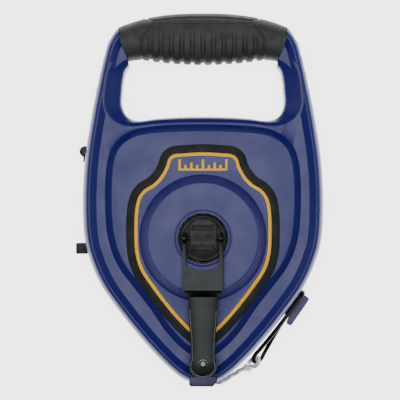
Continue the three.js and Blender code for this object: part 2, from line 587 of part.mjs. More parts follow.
add('spool_core', turned([
  [boreR, SPOOL_BACK - 0.6], [CORE_R - 4.3, SPOOL_BACK - 0.6], [CORE_R - 4.3,
    SPOOL_BACK + FLANGE], [CORE_R, SPOOL_BACK + FLANGE],
  [CORE_R, spoolFront - 0.1], [CORE_R - 4.3, spoolFront - 0.1], [CORE_R - 4.3, spoolFront + FLANGE], [9,
    spoolFront + FLANGE],
  [9, spoolFront - 2], [boreR, spoolFront - 2], [boreR, SPOOL_BACK - 0.6]], 0, 0, 32), FINISH.whitePlastic);
add('line_winding', ringOf(CORE_R + GAP, WINDING_R, SPOOL_BACK + FLANGE + GAP, spoolFront - GAP, 0, 0,
  36), FINISH.line);
add('spool_washer', ringOf(boreR, 6.2, 4.5, SPOOL_BACK - 0.8, 0, 0, 24), FINISH.zinc);

// ---------------------------------------------------------------- planetary gears
const PRESSURE = THREE.MathUtils.degToRad(20);
const BACKLASH = 0.3;
const involute = (angle) => Math.tan(angle) - angle;

// One gear's outline: tooth 0 is centred on +X. radii are the circles that the flank passes through.
function gearOutline(teeth, root, thinner, radii, turn = 0) {
  const pitch = (MODULE * teeth) / 2;
  const base = pitch * Math.cos(PRESSURE);
  const halfAtPitch = Math.PI / (2 * teeth) - thinner / (2 * pitch);
  const halfAt = (r) => halfAtPitch + involute(PRESSURE) - involute(Math.acos(Math.min(1, base / r)));
  const low = Math.max(root, base);
  const points = [];
  for (let k = 0; k < teeth; k++) {
    const centre = (2 * Math.PI * k) / teeth + turn;
    const sides = [[root, halfAt(low)], ...radii.map((r) => [r, halfAt(r)])];
    for (const [r, half] of sides) points.push(v2(r * Math.cos(centre - half), r * Math.sin(centre - half)));
    for (const [r, half] of sides.reverse()) points.push(v2(r * Math.cos(centre + half),
      r * Math.sin(centre + half)));
  }
  return points;
}
const pitchR = (teeth) => (MODULE * teeth) / 2;
function externalGear(teeth) {
  const [pitch, tip] = [pitchR(teeth), pitchR(teeth) + 1];
  return gearOutline(teeth, pitch - 1.4, BACKLASH / 2, [pitch, tip]);
}
const sunOutline = externalGear(SUN_TEETH);
const sun = cut(prism(sunOutline, spoolFront + FLANGE + 0.4, GEAR_FRONT + 0.3), drum(boreR, 0, 60, 0, 0, 24));
add('sun_gear', sun.add(solid(ringOf(boreR, 8.6, spoolFront - 1.6, spoolFront + FLANGE + 0.6, 0, 0, 24))),
  FINISH.whitePlastic);

const ringRoot = pitchR(RING_TEETH) + 1.4;
const spaceOutline = gearOutline(RING_TEETH, pitchR(RING_TEETH) - 1, -BACKLASH / 2, [ringRoot],
  Math.PI / RING_TEETH);
const ringGear = solid(drum(35.6, GEAR_BACK - 0.5, DISC - WALL - GAP, 0, 0,
  32)).subtract(solid(prism(spaceOutline, 30, 60)))
  .subtract(solid(drum(32.4, GEAR_FRONT + 0.6, 60, 0, 0, 32)));
add('ring_gear', ringGear, FINISH.whitePlastic);

const planetOutline = externalGear(PLANET_TEETH);
const POST_R = 3;
const planetPlaces = [90, 210, 330].map((degrees) => {
  const a = THREE.MathUtils.degToRad(degrees);
  return [PLANET_ORBIT * Math.cos(a), PLANET_ORBIT * Math.sin(a)];
});
planetPlaces.forEach(([x, y], i) => {
  const planet = cut(prism(planetOutline, GEAR_BACK, GEAR_FRONT), drum(POST_R + 0.12, 0, 60, 0, 0, 20));
  add(`planet_gear_${i + 1}`, planet, FINISH.blackPlastic).position.set(x, y, 0);
});

// ---------------------------------------------------------------- crank hub and carrier
const carrierBack = GEAR_FRONT + 0.4;
const carrierFront = carrierBack + 3;
let carrier = cut(drum(25.5, carrierBack, carrierFront, 0, 0, 36), drum(boreR + 0.3, 0, 60, 0, 0, 24));
for (const [x, y] of planetPlaces) carrier = carrier.add(solid(drum(POST_R, GEAR_BACK - 0.3,
  carrierBack + 1, x, y, 20)));
const hubScrews = [30, 150, 270].map((degrees) => {
  const a = THREE.MathUtils.degToRad(degrees);
  return [11 * Math.cos(a), 11 * Math.sin(a)];
});
for (const [x, y] of hubScrews) carrier = carrier.subtract(solid(drum(1.4, 30, 60, x, y, 12)));
add('planet_carrier', carrier, FINISH.blackPlastic);

const BLOCK = { half: 9, top: 12.9, bottom: -10.6 };
let hub = solid(turned([[0, carrierFront + GAP], [20.5, carrierFront + GAP], [20.5, DISC - WALL - 1.7],
  [HUB_R, DISC - WALL - 1.7],
  [HUB_R, HUB_TOP - 0.6], [HUB_R - 0.6, HUB_TOP], [0, HUB_TOP]], 0, 0, 40));
const blockShape = [[-BLOCK.half, BLOCK.top - 4], [-BLOCK.half + 4, BLOCK.top],
  [BLOCK.half - 4, BLOCK.top], [BLOCK.half, BLOCK.top - 4],
  [BLOCK.half, BLOCK.bottom + 4], [BLOCK.half - 4.4, BLOCK.bottom], [-BLOCK.half + 4.4,
    BLOCK.bottom], [-BLOCK.half, BLOCK.bottom + 4]];
hub = hub.add(solid(prism(blockShape.map(([x, y]) => v2(x, y)).reverse(), HUB_TOP - 1, BLOCK_TOP)));
const SLOT = { half: 7.5, height: 3.8, centres: [7.1, 0.4, -6.3], depth: 6 };
for (const y of SLOT.centres) {
  hub = hub.subtract(solid(block(-SLOT.half, SLOT.half, y - SLOT.height / 2, y + SLOT.height / 2,
    y === SLOT.centres[1] ? BLOCK_TOP - 1.2 : BLOCK_TOP - SLOT.depth, 80)));
}
hub = hub.subtract(solid(drum(AXLE_R + 0.3, 30, 48, 0, 0, 24)));
hub = hub.subtract(solid(new THREE.CylinderGeometry(1.65, 1.65, 60, 12).rotateZ(Math.PI / 2).translate(0,
  0, PIVOT_Z)));
for (const [x, y] of hubScrews) hub = hub.subtract(solid(drum(1.4, 30, 50.6, x, y, 12)));
add('crank_hub', hub, FINISH.blackPlastic);
hubScrews.forEach(([x, y], i) => {
  const screw = turned([[0, carrierBack - 1.6], [2.2, carrierBack - 1.6], [2.4, carrierBack - GAP],
    [1.15, carrierBack - GAP], [1.15, 50.3], [0, 50.3]], x, y, 12);
  add(`carrier_screw_${i + 1}`, screw, FINISH.zinc);
});
add('hub_seal', ringOf(HUB_R + 0.3, 20.2, DISC - WALL - 1.4, DISC - WALL - 0.2, 0, 0, 36), FINISH.felt);

const PIN_HALF = 14.2;
const pin = new THREE.LatheGeometry([[0, -PIN_HALF], [1.5, -PIN_HALF], [1.5, PIN_HALF],
  [0, PIN_HALF]].map(([r, y]) => v2(r, y)), 12);
add('crank_pivot_pin', pin.rotateZ(Math.PI / 2).translate(0, 0, PIVOT_Z), FINISH.steel);

// ---------------------------------------------------------------- crank arm
const ARM = { half: 13.5, webTop: 62.8, low: 59.6, foldFar: -39, foldNear: -34.4, arc: 21.4,
  flangeLow: 59.2, neck: 9.6 };
const flangeShape = new THREE.Shape();
flangeShape.absarc(0, PIVOT_Z, 3.6, Math.PI * 1.5, Math.PI * 0.5, false);
flangeShape.lineTo(-6, ARM.webTop);
flangeShape.lineTo(ARM.foldNear, ARM.webTop);
flangeShape.lineTo(ARM.foldNear, ARM.flangeLow + 1.4);
flangeShape.lineTo(ARM.foldNear + 3, ARM.flangeLow);
flangeShape.closePath();
function armFlange(side) {
  const g = new THREE.ExtrudeGeometry(flangeShape, { depth: CHEEK, bevelEnabled: false, curveSegments: 8 });
  // the shape's x, y are the reel's Y, Z
  g.applyMatrix4(new THREE.Matrix4().makeBasis(new THREE.Vector3(0, 1, 0), new THREE.Vector3(0, 0, 1),
    new THREE.Vector3(1, 0, 0)));
  return g.translate(side > 0 ? ARM.half - CHEEK : -ARM.half, 0, 0);
}
function armWeb() {
  const web = [];
  for (let i = 0; i <= 10; i++) {
    const a = THREE.MathUtils.degToRad(THREE.MathUtils.lerp(-125, -55, i / 10));
    web.push(v2(ARM.arc * Math.cos(a), ARM.arc * Math.sin(a)));
  }
  return [v2(-ARM.half, ARM.foldNear), v2(-ARM.half, -17.5), ...web, v2(ARM.half, -17.5),
    v2(ARM.half, ARM.foldNear)].reverse();
}
const lowerArm = [];
for (let i = 0; i <= 14; i++) {
  const a = THREE.MathUtils.degToRad(THREE.MathUtils.lerp(146, 394, i / 14));
  lowerArm.push(v2(9.5 * Math.cos(a), -CRANK_LENGTH + 9.5 * Math.sin(a)));
}
lowerArm.push(v2(8.1, -72), v2(ARM.neck, -48), v2(ARM.neck, ARM.foldFar));
lowerArm.push(...lowerArm.slice(-3).reverse().map((p) => v2(-p.x, p.y)));
const foldStrip = (z) => [new THREE.Vector3(-ARM.neck, ARM.foldNear + 0.6, ARM.webTop + z),
  new THREE.Vector3(ARM.neck, ARM.foldNear + 0.6, ARM.webTop + z),
  new THREE.Vector3(ARM.neck, ARM.foldFar - 0.2, ARM.low + z), new THREE.Vector3(-ARM.neck,
    ARM.foldFar - 0.2, ARM.low + z)];
const strip = (() => {
  const [a, b, c, d] = foldStrip(0);
  const [e, f, g, h] = foldStrip(-SHEET);
  return loft([[a, e, h, d], [b, f, g, c]]);
})();
let arm = solid(prism(armWeb(), ARM.webTop - SHEET,
  ARM.webTop)).add(solid(strip)).add(solid(prism(lowerArm, ARM.low - SHEET, ARM.low)));
for (const flange of bothSides(armFlange)) arm = arm.add(solid(flange));
arm = arm.subtract(solid(new THREE.CylinderGeometry(1.62, 1.62, 60, 12).rotateZ(Math.PI / 2).translate(0,
  0, PIVOT_Z)));
const RIVET_R = 2;
arm = arm.subtract(solid(drum(RIVET_R + 0.15, 50, 70, 0, -CRANK_LENGTH, 16)));
add('crank_arm', arm, FINISH.blackSteel);
add('knob_rivet', turned([[0, KNOB_FOOT + 0.6], [3.2, KNOB_FOOT + 0.6], [3.2, KNOB_FOOT + 1.6],
  [RIVET_R, KNOB_FOOT + 1.6], [RIVET_R, ARM.low + 0.3],
  [3.3, ARM.low + 0.3], [3.2, ARM.low + 1.2], [2.4, ARM.low + 1.6], [1.6, ARM.low + 0.9], [0,
    ARM.low + 0.9]], 0, -CRANK_LENGTH, 20), FINISH.steel);
const knobTop = ARM.low - SHEET - GAP;
add('crank_knob', turned([[RIVET_R + 0.15, KNOB_FOOT + 2], [3.5, KNOB_FOOT + 2], [3.5, KNOB_FOOT],
  [KNOB_R - 1.6, KNOB_FOOT], [KNOB_R, KNOB_FOOT + 1.8],
  [KNOB_R - 0.9, KNOB_FOOT + 6], [KNOB_R, knobTop - 1.2], [KNOB_R - 0.8, knobTop], [RIVET_R + 0.15,
    knobTop], [RIVET_R + 0.15, KNOB_FOOT + 2]],
0, -CRANK_LENGTH, 28), FINISH.blackPlastic);

// ---------------------------------------------------------------- case screws, driven from the back
screwPlaces.forEach(([x, y], i) => {
  const seat = 8;
  const screw = turned([[0, seat - 2.6], [2.6, seat - 2.6], [3, seat - 2], [3, seat - GAP],
    [1.4, seat - GAP], [1.4, 34.4], [0, 35.6]], x, y, 8);
  add(`case_screw_${i + 1}`, screw, FINISH.zinc);
});

export default reel;
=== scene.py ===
# Chalk line reel lying on its back: blue ABS case, rubber grip, folding steel crank,
# braided line on a wire hook. Sizes are in millimetres until a piece is finished.
import json
import math

import bmesh
import bpy
from mathutils import Matrix, Vector

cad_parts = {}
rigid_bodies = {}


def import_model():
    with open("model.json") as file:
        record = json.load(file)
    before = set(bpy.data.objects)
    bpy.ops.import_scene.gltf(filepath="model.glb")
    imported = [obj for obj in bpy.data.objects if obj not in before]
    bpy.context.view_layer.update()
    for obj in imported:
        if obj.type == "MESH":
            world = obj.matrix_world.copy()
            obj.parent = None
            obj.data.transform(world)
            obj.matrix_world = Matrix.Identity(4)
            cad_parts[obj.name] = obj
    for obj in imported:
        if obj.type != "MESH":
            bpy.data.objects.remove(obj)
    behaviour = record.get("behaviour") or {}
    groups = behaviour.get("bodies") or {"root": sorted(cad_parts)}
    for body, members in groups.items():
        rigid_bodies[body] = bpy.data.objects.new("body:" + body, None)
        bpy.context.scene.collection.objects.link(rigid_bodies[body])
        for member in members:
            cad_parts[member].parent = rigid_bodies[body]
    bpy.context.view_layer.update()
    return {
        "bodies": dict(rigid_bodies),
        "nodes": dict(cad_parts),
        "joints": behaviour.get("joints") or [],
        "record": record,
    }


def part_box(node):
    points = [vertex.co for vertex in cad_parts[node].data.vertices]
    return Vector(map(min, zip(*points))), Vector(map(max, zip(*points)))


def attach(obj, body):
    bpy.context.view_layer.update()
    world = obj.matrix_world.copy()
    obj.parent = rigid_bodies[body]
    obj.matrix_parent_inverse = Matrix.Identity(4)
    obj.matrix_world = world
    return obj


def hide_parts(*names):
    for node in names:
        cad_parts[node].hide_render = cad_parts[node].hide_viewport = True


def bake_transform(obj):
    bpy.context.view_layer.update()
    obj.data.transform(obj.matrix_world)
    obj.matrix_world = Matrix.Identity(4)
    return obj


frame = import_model()
print("frame loaded")

mm = 0.001
parting = 25  # height of the joint between the two case halves
tau = 2 * math.pi


def nodeBox(name):
    low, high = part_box(name)
    return [v / mm for v in low], [v / mm for v in high]


# camera, floor and light
viewSetup = {
    "centre": (-2.0, 25.4),
    "height": 1500,
    "focusHeight": 30,
    "frameWidth": 270,
    "sensor": 36,
}
lightSetup = {
    "overhead": {"at": (-40, 160, 1900), "size": 1300, "power": 34},
    "left": {"at": (-1500, 500, 900), "size": 900, "power": 1.5},
    "right": {"at": (1500, 200, 900), "size": 900, "power": 1.2},
    "world": 0.1,
    "floor": 3.2,
}


def srgb(code):
    channels = [int(code[i : i + 2], 16) / 255 for i in (1, 3, 5)]
    return (*[c / 12.92 if c <= 0.04045 else ((c + 0.055) / 1.055) ** 2.4 for c in channels], 1)


def addNode(tree, kind, inputs=None, **settings):
    made = tree.nodes.new(kind)
    for name, value in settings.items():
        setattr(made, name, value)
    for key, value in (inputs or {}).items():
        if isinstance(value, bpy.types.NodeSocket):
            tree.links.new(value, made.inputs[key])
        else:
            made.inputs[key].default_value = value
    return made


def makeStage():
    x, y = viewSetup["centre"]
    lens = viewSetup["sensor"] * (viewSetup["height"] - viewSetup["focusHeight"]) / viewSetup["frameWidth"]
    camera = bpy.data.cameras.new("camera")
    camera.lens = lens
    camera.sensor_width = viewSetup["sensor"]
    camera.clip_end = 20
    seat = bpy.data.objects.new("camera", camera)
    seat.location = (x * mm, y * mm, viewSetup["height"] * mm)
    bpy.context.scene.collection.objects.link(seat)
    bpy.context.scene.camera = seat

    work = bmesh.new()
    bmesh.ops.create_grid(work, x_segments=1, y_segments=1, size=3)
    bmesh.ops.translate(work, vec=(0, 0, -0.0002), verts=work.verts)
    mesh = bpy.data.meshes.new("floor")
    work.to_mesh(mesh)
    work.free()
    floor = bpy.data.objects.new("floor", mesh)
    bpy.context.scene.collection.objects.link(floor)
    material = bpy.data.materials.new("backlitPaper")
    material.use_nodes = True
    shader = material.node_tree.nodes["Principled BSDF"]
    shader.inputs["Base Color"].default_value = srgb("#f7f7f6")
    shader.inputs["Roughness"].default_value = 0.9
    shader.inputs["Emission Color"].default_value = srgb("#ffffff")
    shader.inputs["Emission Strength"].default_value = lightSetup["floor"]
    mesh.materials.append(material)

    for name in ("overhead", "left", "right"):
        setup = lightSetup[name]
        lamp = bpy.data.lights.new(name, "AREA")
        lamp.energy = setup["power"]
        lamp.size = setup["size"] * mm
        holder = bpy.data.objects.new(name, lamp)
        holder.location = Vector(setup["at"]) * mm
        aim = Vector((x, y, 30)) * mm - holder.location
        holder.rotation_euler = aim.to_track_quat("-Z", "Y").to_euler()
        bpy.context.scene.collection.objects.link(holder)
    world = bpy.data.worlds.new("room")
    world.use_nodes = True
    backdrop = world.node_tree.nodes["Background"]
    backdrop.inputs["Color"].default_value = srgb("#eef0f4")
    backdrop.inputs["Strength"].default_value = lightSetup["world"]
    bpy.context.scene.world = world


makeStage()
print("stage set")

# outlines of the case, right half from top to bottom
silhouetteHalf = [
    (0, 151.6), (22, 150.8), (40, 148), (50, 145.3), (56.6, 141.6), (61.4, 136.1), (64.8, 129.3),
    (66.9, 121.5), (69, 112.5), (71.4, 101), (73.7, 89.5), (75.7, 78), (77.4, 67.5), (79, 55.8),
    (80, 45.6), (80.7, 32), (80.8, 18.6), (80.3, 6), (78.6, -6), (76, -14.5), (72.3, -24), (67.1, -34),
    (56, -49.6), (41.6, -67.5), (29.4, -81), (19.4, -90.4), (11.5, -95.8), (5, -97.6), (0, -97.8),
]
panelHalf = [
    (0, 71.4), (20, 70.9), (36, 69.7), (45, 67.8), (52.5, 63.6), (57, 58), (59.6, 50), (60.7, 40),
    (61, 27), (60.6, 14), (59.3, 2), (56.4, -8.6), (51.5, -18.6), (44.6, -27.8), (32, -44),
    (21.4, -59.5), (12, -69.6), (5, -74.4), (0, -75.6),
]
stripeHalf = [
    (0, 56.1), (13.2, 55.4), (19.3, 54.7), (22, 52.6), (23.8, 47.2), (27.7, 40.3), (32.7, 35.1),
    (38.4, 31.6), (41.8, 27.5), (43.6, 22.1), (44.5, 14.5), (44.7, 2), (44, -9.8), (41, -20.4),
    (33.4, -32.2), (22.6, -46.4), (11.5, -58.8), (4.2, -65), (0, -66.8),
]
openingHalf = [
    (0, 120.3), (24, 120.3), (40, 119.9), (47.4, 117.6), (52, 113), (53.8, 106), (54.6, 98), (54.9, 90),
    (52.8, 83.8), (48.6, 80), (43, 78.8), (30, 80.3), (14, 81.2), (0, 81.4),
]


def centripetal(p0, p1, p2, p3, share):
    # point on the curve between p1 and p2
    t0 = 0
    t1 = t0 + (p1 - p0).length ** 0.5
    t2 = t1 + (p2 - p1).length ** 0.5
    t3 = t2 + (p3 - p2).length ** 0.5
    t = t1 + (t2 - t1) * share
    a1 = p0.lerp(p1, (t - t0) / (t1 - t0))
    a2 = p1.lerp(p2, (t - t1) / (t2 - t1))
    a3 = p2.lerp(p3, (t - t2) / (t3 - t2))
    b1 = a1.lerp(a2, (t - t0) / (t2 - t0))
    b2 = a2.lerp(a3, (t - t1) / (t3 - t1))
    return b1.lerp(b2, (t - t1) / (t2 - t1))


def smoothPath(points, count, closed=False):
    # evenly spaced points on one smooth curve through the given ones
    points = [Vector(p) for p in points]
    n = len(points)
    if not closed:
        points = [2 * points[0] - points[1], *points, 2 * points[-1] - points[-2]]
    dense = []
    for i in range(n if closed else n - 1):
        four = [points[(i + k - 1) % n] for k in range(4)] if closed else points[i : i + 4]
        dense += [centripetal(*four, s / 20) for s in range(20)]
    dense.append(points[0] if closed else points[-2])
    along = [0.0]
    for a, b in zip(dense, dense[1:]):
        along.append(along[-1] + (b - a).length)
    steps = count if closed else count - 1
    made = []
    k = 0
    for i in range(count):
        goal = along[-1] * i / steps
        while k < len(dense) - 2 and along[k + 1] < goal:
            k += 1
        made.append(dense[k].lerp(dense[k + 1], (goal - along[k]) / (along[k + 1] - along[k])))
    return made


def mirrored(half, count):
    # counterclockwise closed outline from its right half
    left = [(-x, y) for x, y in half[1:-1]]
    return smoothPath([half[0], *left, half[-1], *half[1:-1][::-1]], count, closed=True)


def offset(outline, distance):
    # moved inwards, or outwards below zero
    n = len(outline)
    made = []
    for i, p in enumerate(outline):
        first = (p - outline[i - 1]).normalized()
        second = (outline[(i + 1) % n] - p).normalized()
        way = (first + second).normalized()
        inward = Vector((-way.y, way.x))
        made.append(p + inward * (distance / max(0.5, way.dot(first))))
    return made


def ease(low, high, value):
    share = min(1, max(0, (value - low) / (high - low)))
    return share * share * (3 - 2 * share)


# solids in working millimetres
def slab(outline, base, steps):
    # closed solid on an outline; steps are (inset, height) from the side wall to the top face
    work = bmesh.new()
    bottom = work.faces.new([work.verts.new((p.x, p.y, base)) for p in outline])
    made = bmesh.ops.extrude_face_region(work, geom=[bottom], use_keep_orig=True)
    lifted = [g for g in made["geom"] if isinstance(g, bmesh.types.BMVert)]
    top = [g for g in made["geom"] if isinstance(g, bmesh.types.BMFace)]
    inset, height = steps[0]
    bmesh.ops.translate(work, vec=(0, 0, height - base), verts=lifted)
    for nextInset, nextHeight in steps[1:]:
        bmesh.ops.inset_region(
            work, faces=top, thickness=nextInset - inset, depth=nextHeight - height,
            use_even_offset=True, use_boundary=True,
        )
        inset, height = nextInset, nextHeight
    bmesh.ops.recalc_face_normals(work, faces=work.faces)
    return work


def turned(profile, steps=96, x=0, y=0):
    # solid of revolution about Z from (radius, height) points; an open profile starts and ends on the axis
    work = bmesh.new()
    ring = [work.verts.new((r, 0, z)) for r, z in profile]
    edges = [work.edges.new(pair) for pair in zip(ring, ring[1:])]
    if profile[0][0] > 0:
        edges.append(work.edges.new((ring[-1], ring[0])))
    bmesh.ops.spin(
        work, geom=ring + edges, axis=(0, 0, 1), cent=(0, 0, 0), steps=steps, angle=tau, use_merge=True,
    )
    bmesh.ops.remove_doubles(work, verts=work.verts, dist=1e-4)
    bmesh.ops.recalc_face_normals(work, faces=work.faces)
    bmesh.ops.translate(work, vec=(x, y, 0), verts=work.verts)
    return work


def cuboid(x0, x1, y0, y1, z0, z1, edge=0, segments=3):
    work = bmesh.new()
    bmesh.ops.create_cube(work, size=1)
    bmesh.ops.scale(work, vec=(x1 - x0, y1 - y0, z1 - z0), verts=work.verts)
    bmesh.ops.translate(work, vec=((x0 + x1) / 2, (y0 + y1) / 2, (z0 + z1) / 2), verts=work.verts)
    if edge:
        roundEdges(work, edge, segments)
    return work


def roundEdges(work, width, segments=3, sharperThan=30):
    edges = [
        e for e in work.edges
        if len(e.link_faces) == 2 and math.degrees(e.calc_face_angle(0)) > sharperThan
    ]
    bmesh.ops.bevel(
        work, geom=edges, offset=width, offset_type="OFFSET", segments=segments,
        profile=0.5, affect="EDGES", material=-1, clamp_overlap=True,
    )


def toObject(work, name="tool"):
    mesh = bpy.data.meshes.new(name)
    work.to_mesh(mesh)
    work.free()
    made = bpy.data.objects.new(name, mesh)
    bpy.context.scene.collection.objects.link(made)
    return made


def carve(name, base, *changes):
    # joins ("UNION") and cuts ("DIFFERENCE") solids in turn, and leaves one object
    body = toObject(base, name)
    tools = []
    for operation, tool in changes:
        blade = toObject(tool)
        change = body.modifiers.new(operation, "BOOLEAN")
        change.operation = operation
        change.solver = "MANIFOLD"
        change.object = blade
        tools.append(blade)
    shape = bpy.data.meshes.new_from_object(body.evaluated_get(bpy.context.evaluated_depsgraph_get()))
    old = body.data
    body.modifiers.clear()
    body.data = shape
    bpy.data.meshes.remove(old)
    for blade in tools:
        bpy.data.meshes.remove(blade.data)
    return body


def reopen(piece):
    work = bmesh.new()
    work.from_mesh(piece.data)
    bpy.data.meshes.remove(piece.data)
    return work


def finishPiece(piece, name, body, material, nodes, smoothBelow=32):
    # from millimetres to metres, with smooth shading up to an angle
    piece.name = name
    piece.data.name = name
    piece.data.transform(Matrix.Scale(mm, 4))
    piece.data.shade_smooth()
    piece.data.set_sharp_from_angle(angle=math.radians(smoothBelow))
    piece.data.materials.clear()
    piece.data.materials.append(material)
    if body:
        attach(piece, body)
    if nodes:
        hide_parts(*nodes)
    print(name, len(piece.data.polygons), "faces")
    return piece


# finishes
def newMaterial(name, base, roughness, metallic=0, ior=1.5):
    material = bpy.data.materials.new(name)
    material.use_nodes = True
    tree = material.node_tree
    shader = tree.nodes["Principled BSDF"]
    shader.inputs["Base Color"].default_value = srgb(base)
    shader.inputs["Roughness"].default_value = roughness
    shader.inputs["Metallic"].default_value = metallic
    if not metallic:
        shader.inputs["IOR"].default_value = ior
    place = addNode(tree, "ShaderNodeTexCoord")
    return material, tree, shader, place


def mottle(tree, place, grain, low, high, detail=3):
    # noise of one grain size in millimetres, spread from low to high
    grainNoise = addNode(
        tree, "ShaderNodeTexNoise",
        {"Vector": place.outputs["Object"], "Scale": 1 / (grain * mm), "Detail": detail},
    )
    return addNode(
        tree, "ShaderNodeMapRange",
        {"Value": grainNoise.outputs["Fac"], "From Min": 0.3, "From Max": 0.7, "To Min": low, "To Max": high},
    ).outputs["Result"]


def twoTone(tree, factor, first, second):
    return addNode(
        tree, "ShaderNodeMix", {"Factor": factor, "A": srgb(first), "B": srgb(second)}, data_type="RGBA",
    ).outputs["Result"]


def relief(tree, shader, height, depth, strength):
    bump = addNode(tree, "ShaderNodeBump", {"Height": height, "Distance": depth * mm, "Strength": strength})
    tree.links.new(bump.outputs["Normal"], shader.inputs["Normal"])


def mouldedAbs(name, dark, light, fleck=0.9):
    # injection-moulded ABS: faintly speckled colour, spark-eroded grain on the faces that look straight up,
    # polished rims, and broad gloss that hazes the flats
    material, tree, shader, place = newMaterial(name, dark, 0.4, ior=1.52)
    speck = mottle(tree, place, fleck, 0, 1, detail=2)  # real grain is 0.2 mm, drawn coarser so that it shows
    tree.links.new(twoTone(tree, speck, dark, light), shader.inputs["Base Color"])
    facing = addNode(tree, "ShaderNodeSeparateXYZ", {"Vector": place.outputs["Normal"]})
    flat = addNode(
        tree, "ShaderNodeMapRange",
        {"Value": facing.outputs["Z"], "From Min": 0.96, "From Max": 0.995, "To Min": 0.0, "To Max": 1.0},
    ).outputs["Result"]
    gloss = addNode(
        tree, "ShaderNodeMapRange", {"Value": flat, "To Min": 0.34, "To Max": 0.5},
    ).outputs["Result"]
    smear = mottle(tree, place, 14, -0.03, 0.04)
    rough = addNode(tree, "ShaderNodeMath", {0: gloss, 1: smear}, operation="ADD")
    tree.links.new(rough.outputs["Value"], shader.inputs["Roughness"])
    texture = mottle(tree, place, 0.7, 0, 1, detail=4)
    grain = addNode(tree, "ShaderNodeMath", {0: texture, 1: flat}, operation="MULTIPLY")
    relief(tree, shader, grain.outputs["Value"], 0.06, 0.55)
    return material


def mouldedRubber(name, dark, light):
    # matt thermoplastic rubber: no sharp gloss, slight bloom, fine grain
    material, tree, shader, place = newMaterial(name, dark, 0.62, ior=1.36)
    tree.links.new(twoTone(tree, mottle(tree, place, 5, 0, 1), dark, light), shader.inputs["Base Color"])
    tree.links.new(mottle(tree, place, 8, 0.55, 0.72), shader.inputs["Roughness"])
    relief(tree, shader, mottle(tree, place, 0.5, 0, 1, detail=4), 0.05, 0.5)
    return material


def satinPlastic(name, dark, light, roughness=0.42, ior=1.5):
    # moulded nylon or acetal: even colour, satin
    material, tree, shader, place = newMaterial(name, dark, roughness, ior=ior)
    tree.links.new(twoTone(tree, mottle(tree, place, 2.5, 0, 1), dark, light), shader.inputs["Base Color"])
    tree.links.new(mottle(tree, place, 6, roughness - 0.06, roughness + 0.08), shader.inputs["Roughness"])
    relief(tree, shader, mottle(tree, place, 0.8, 0, 1), 0.03, 0.4)
    return material


def printedYellow(name):
    # pad-printed enamel: opaque, slightly uneven, satin
    material, tree, shader, place = newMaterial(name, "#f2a200", 0.45, ior=1.3)
    cloud = mottle(tree, place, 3, 0, 1)
    tree.links.new(twoTone(tree, cloud, "#f4ae00", "#fbbe06"), shader.inputs["Base Color"])
    relief(tree, shader, mottle(tree, place, 0.6, 0, 1), 0.02, 0.4)
    return material


def blackOxide(name):
    # oil-blackened sheet steel: dark, glossy, rubbed brighter in fine streaks
    material, tree, shader, place = newMaterial(name, "#0e1011", 0.3, metallic=0.8)
    cloud = mottle(tree, place, 9, 0, 1)
    tree.links.new(twoTone(tree, cloud, "#0e1011", "#141718"), shader.inputs["Base Color"])
    tree.links.new(mottle(tree, place, 6, 0.28, 0.34), shader.inputs["Roughness"])
    streak = addNode(tree, "ShaderNodeMapping", {"Vector": place.outputs["Object"], "Scale": (1, 0.08, 1)})
    lines = addNode(
        tree, "ShaderNodeTexNoise", {"Vector": streak.outputs["Vector"], "Scale": 900, "Detail": 3},
    )
    relief(tree, shader, lines.outputs["Fac"], 0.02, 0.35)
    return material


def platedSteel(name, base="#b4b6b8", roughness=0.3, darker="#9a9ca0"):
    # bright zinc plate on steel: fine directionless grain
    material, tree, shader, place = newMaterial(name, base, roughness, metallic=1)
    tree.links.new(mottle(tree, place, 1.2, roughness - 0.06, roughness + 0.1), shader.inputs["Roughness"])
    tree.links.new(twoTone(tree, mottle(tree, place, 6, 0, 1), base, darker), shader.inputs["Base Color"])
    relief(tree, shader, mottle(tree, place, 0.5, 0, 1), 0.01, 0.4)
    return material


def pressedFelt(name):
    # wool felt: matt, fibrous
    material, tree, shader, place = newMaterial(name, "#cfc6b2", 0.95)
    cloud = mottle(tree, place, 1.5, 0, 1, 5)
    tree.links.new(twoTone(tree, cloud, "#bdb39d", "#dcd4c2"), shader.inputs["Base Color"])
    relief(tree, shader, mottle(tree, place, 0.6, 0, 1, 6), 0.2, 0.8)
    return material


def braidedYarn(name, dark, light, dusting="#dfe4f0"):
    # spun polyester yarn: matt, with fine fibres along it and a trace of blue chalk
    material, tree, shader, place = newMaterial(name, dark, 0.85)
    yarn = twoTone(tree, mottle(tree, place, 0.8, 0, 1), dark, light)
    dust = mottle(tree, place, 7, 0, 0.35)
    dusted = addNode(
        tree, "ShaderNodeMix", {"Factor": dust, "A": yarn, "B": srgb(dusting)}, data_type="RGBA",
    ).outputs["Result"]
    tree.links.new(dusted, shader.inputs["Base Color"])
    shader.inputs["Sheen Weight"].default_value = 0.3
    relief(tree, shader, mottle(tree, place, 0.35, 0, 1, 5), 0.08, 0.6)
    return material


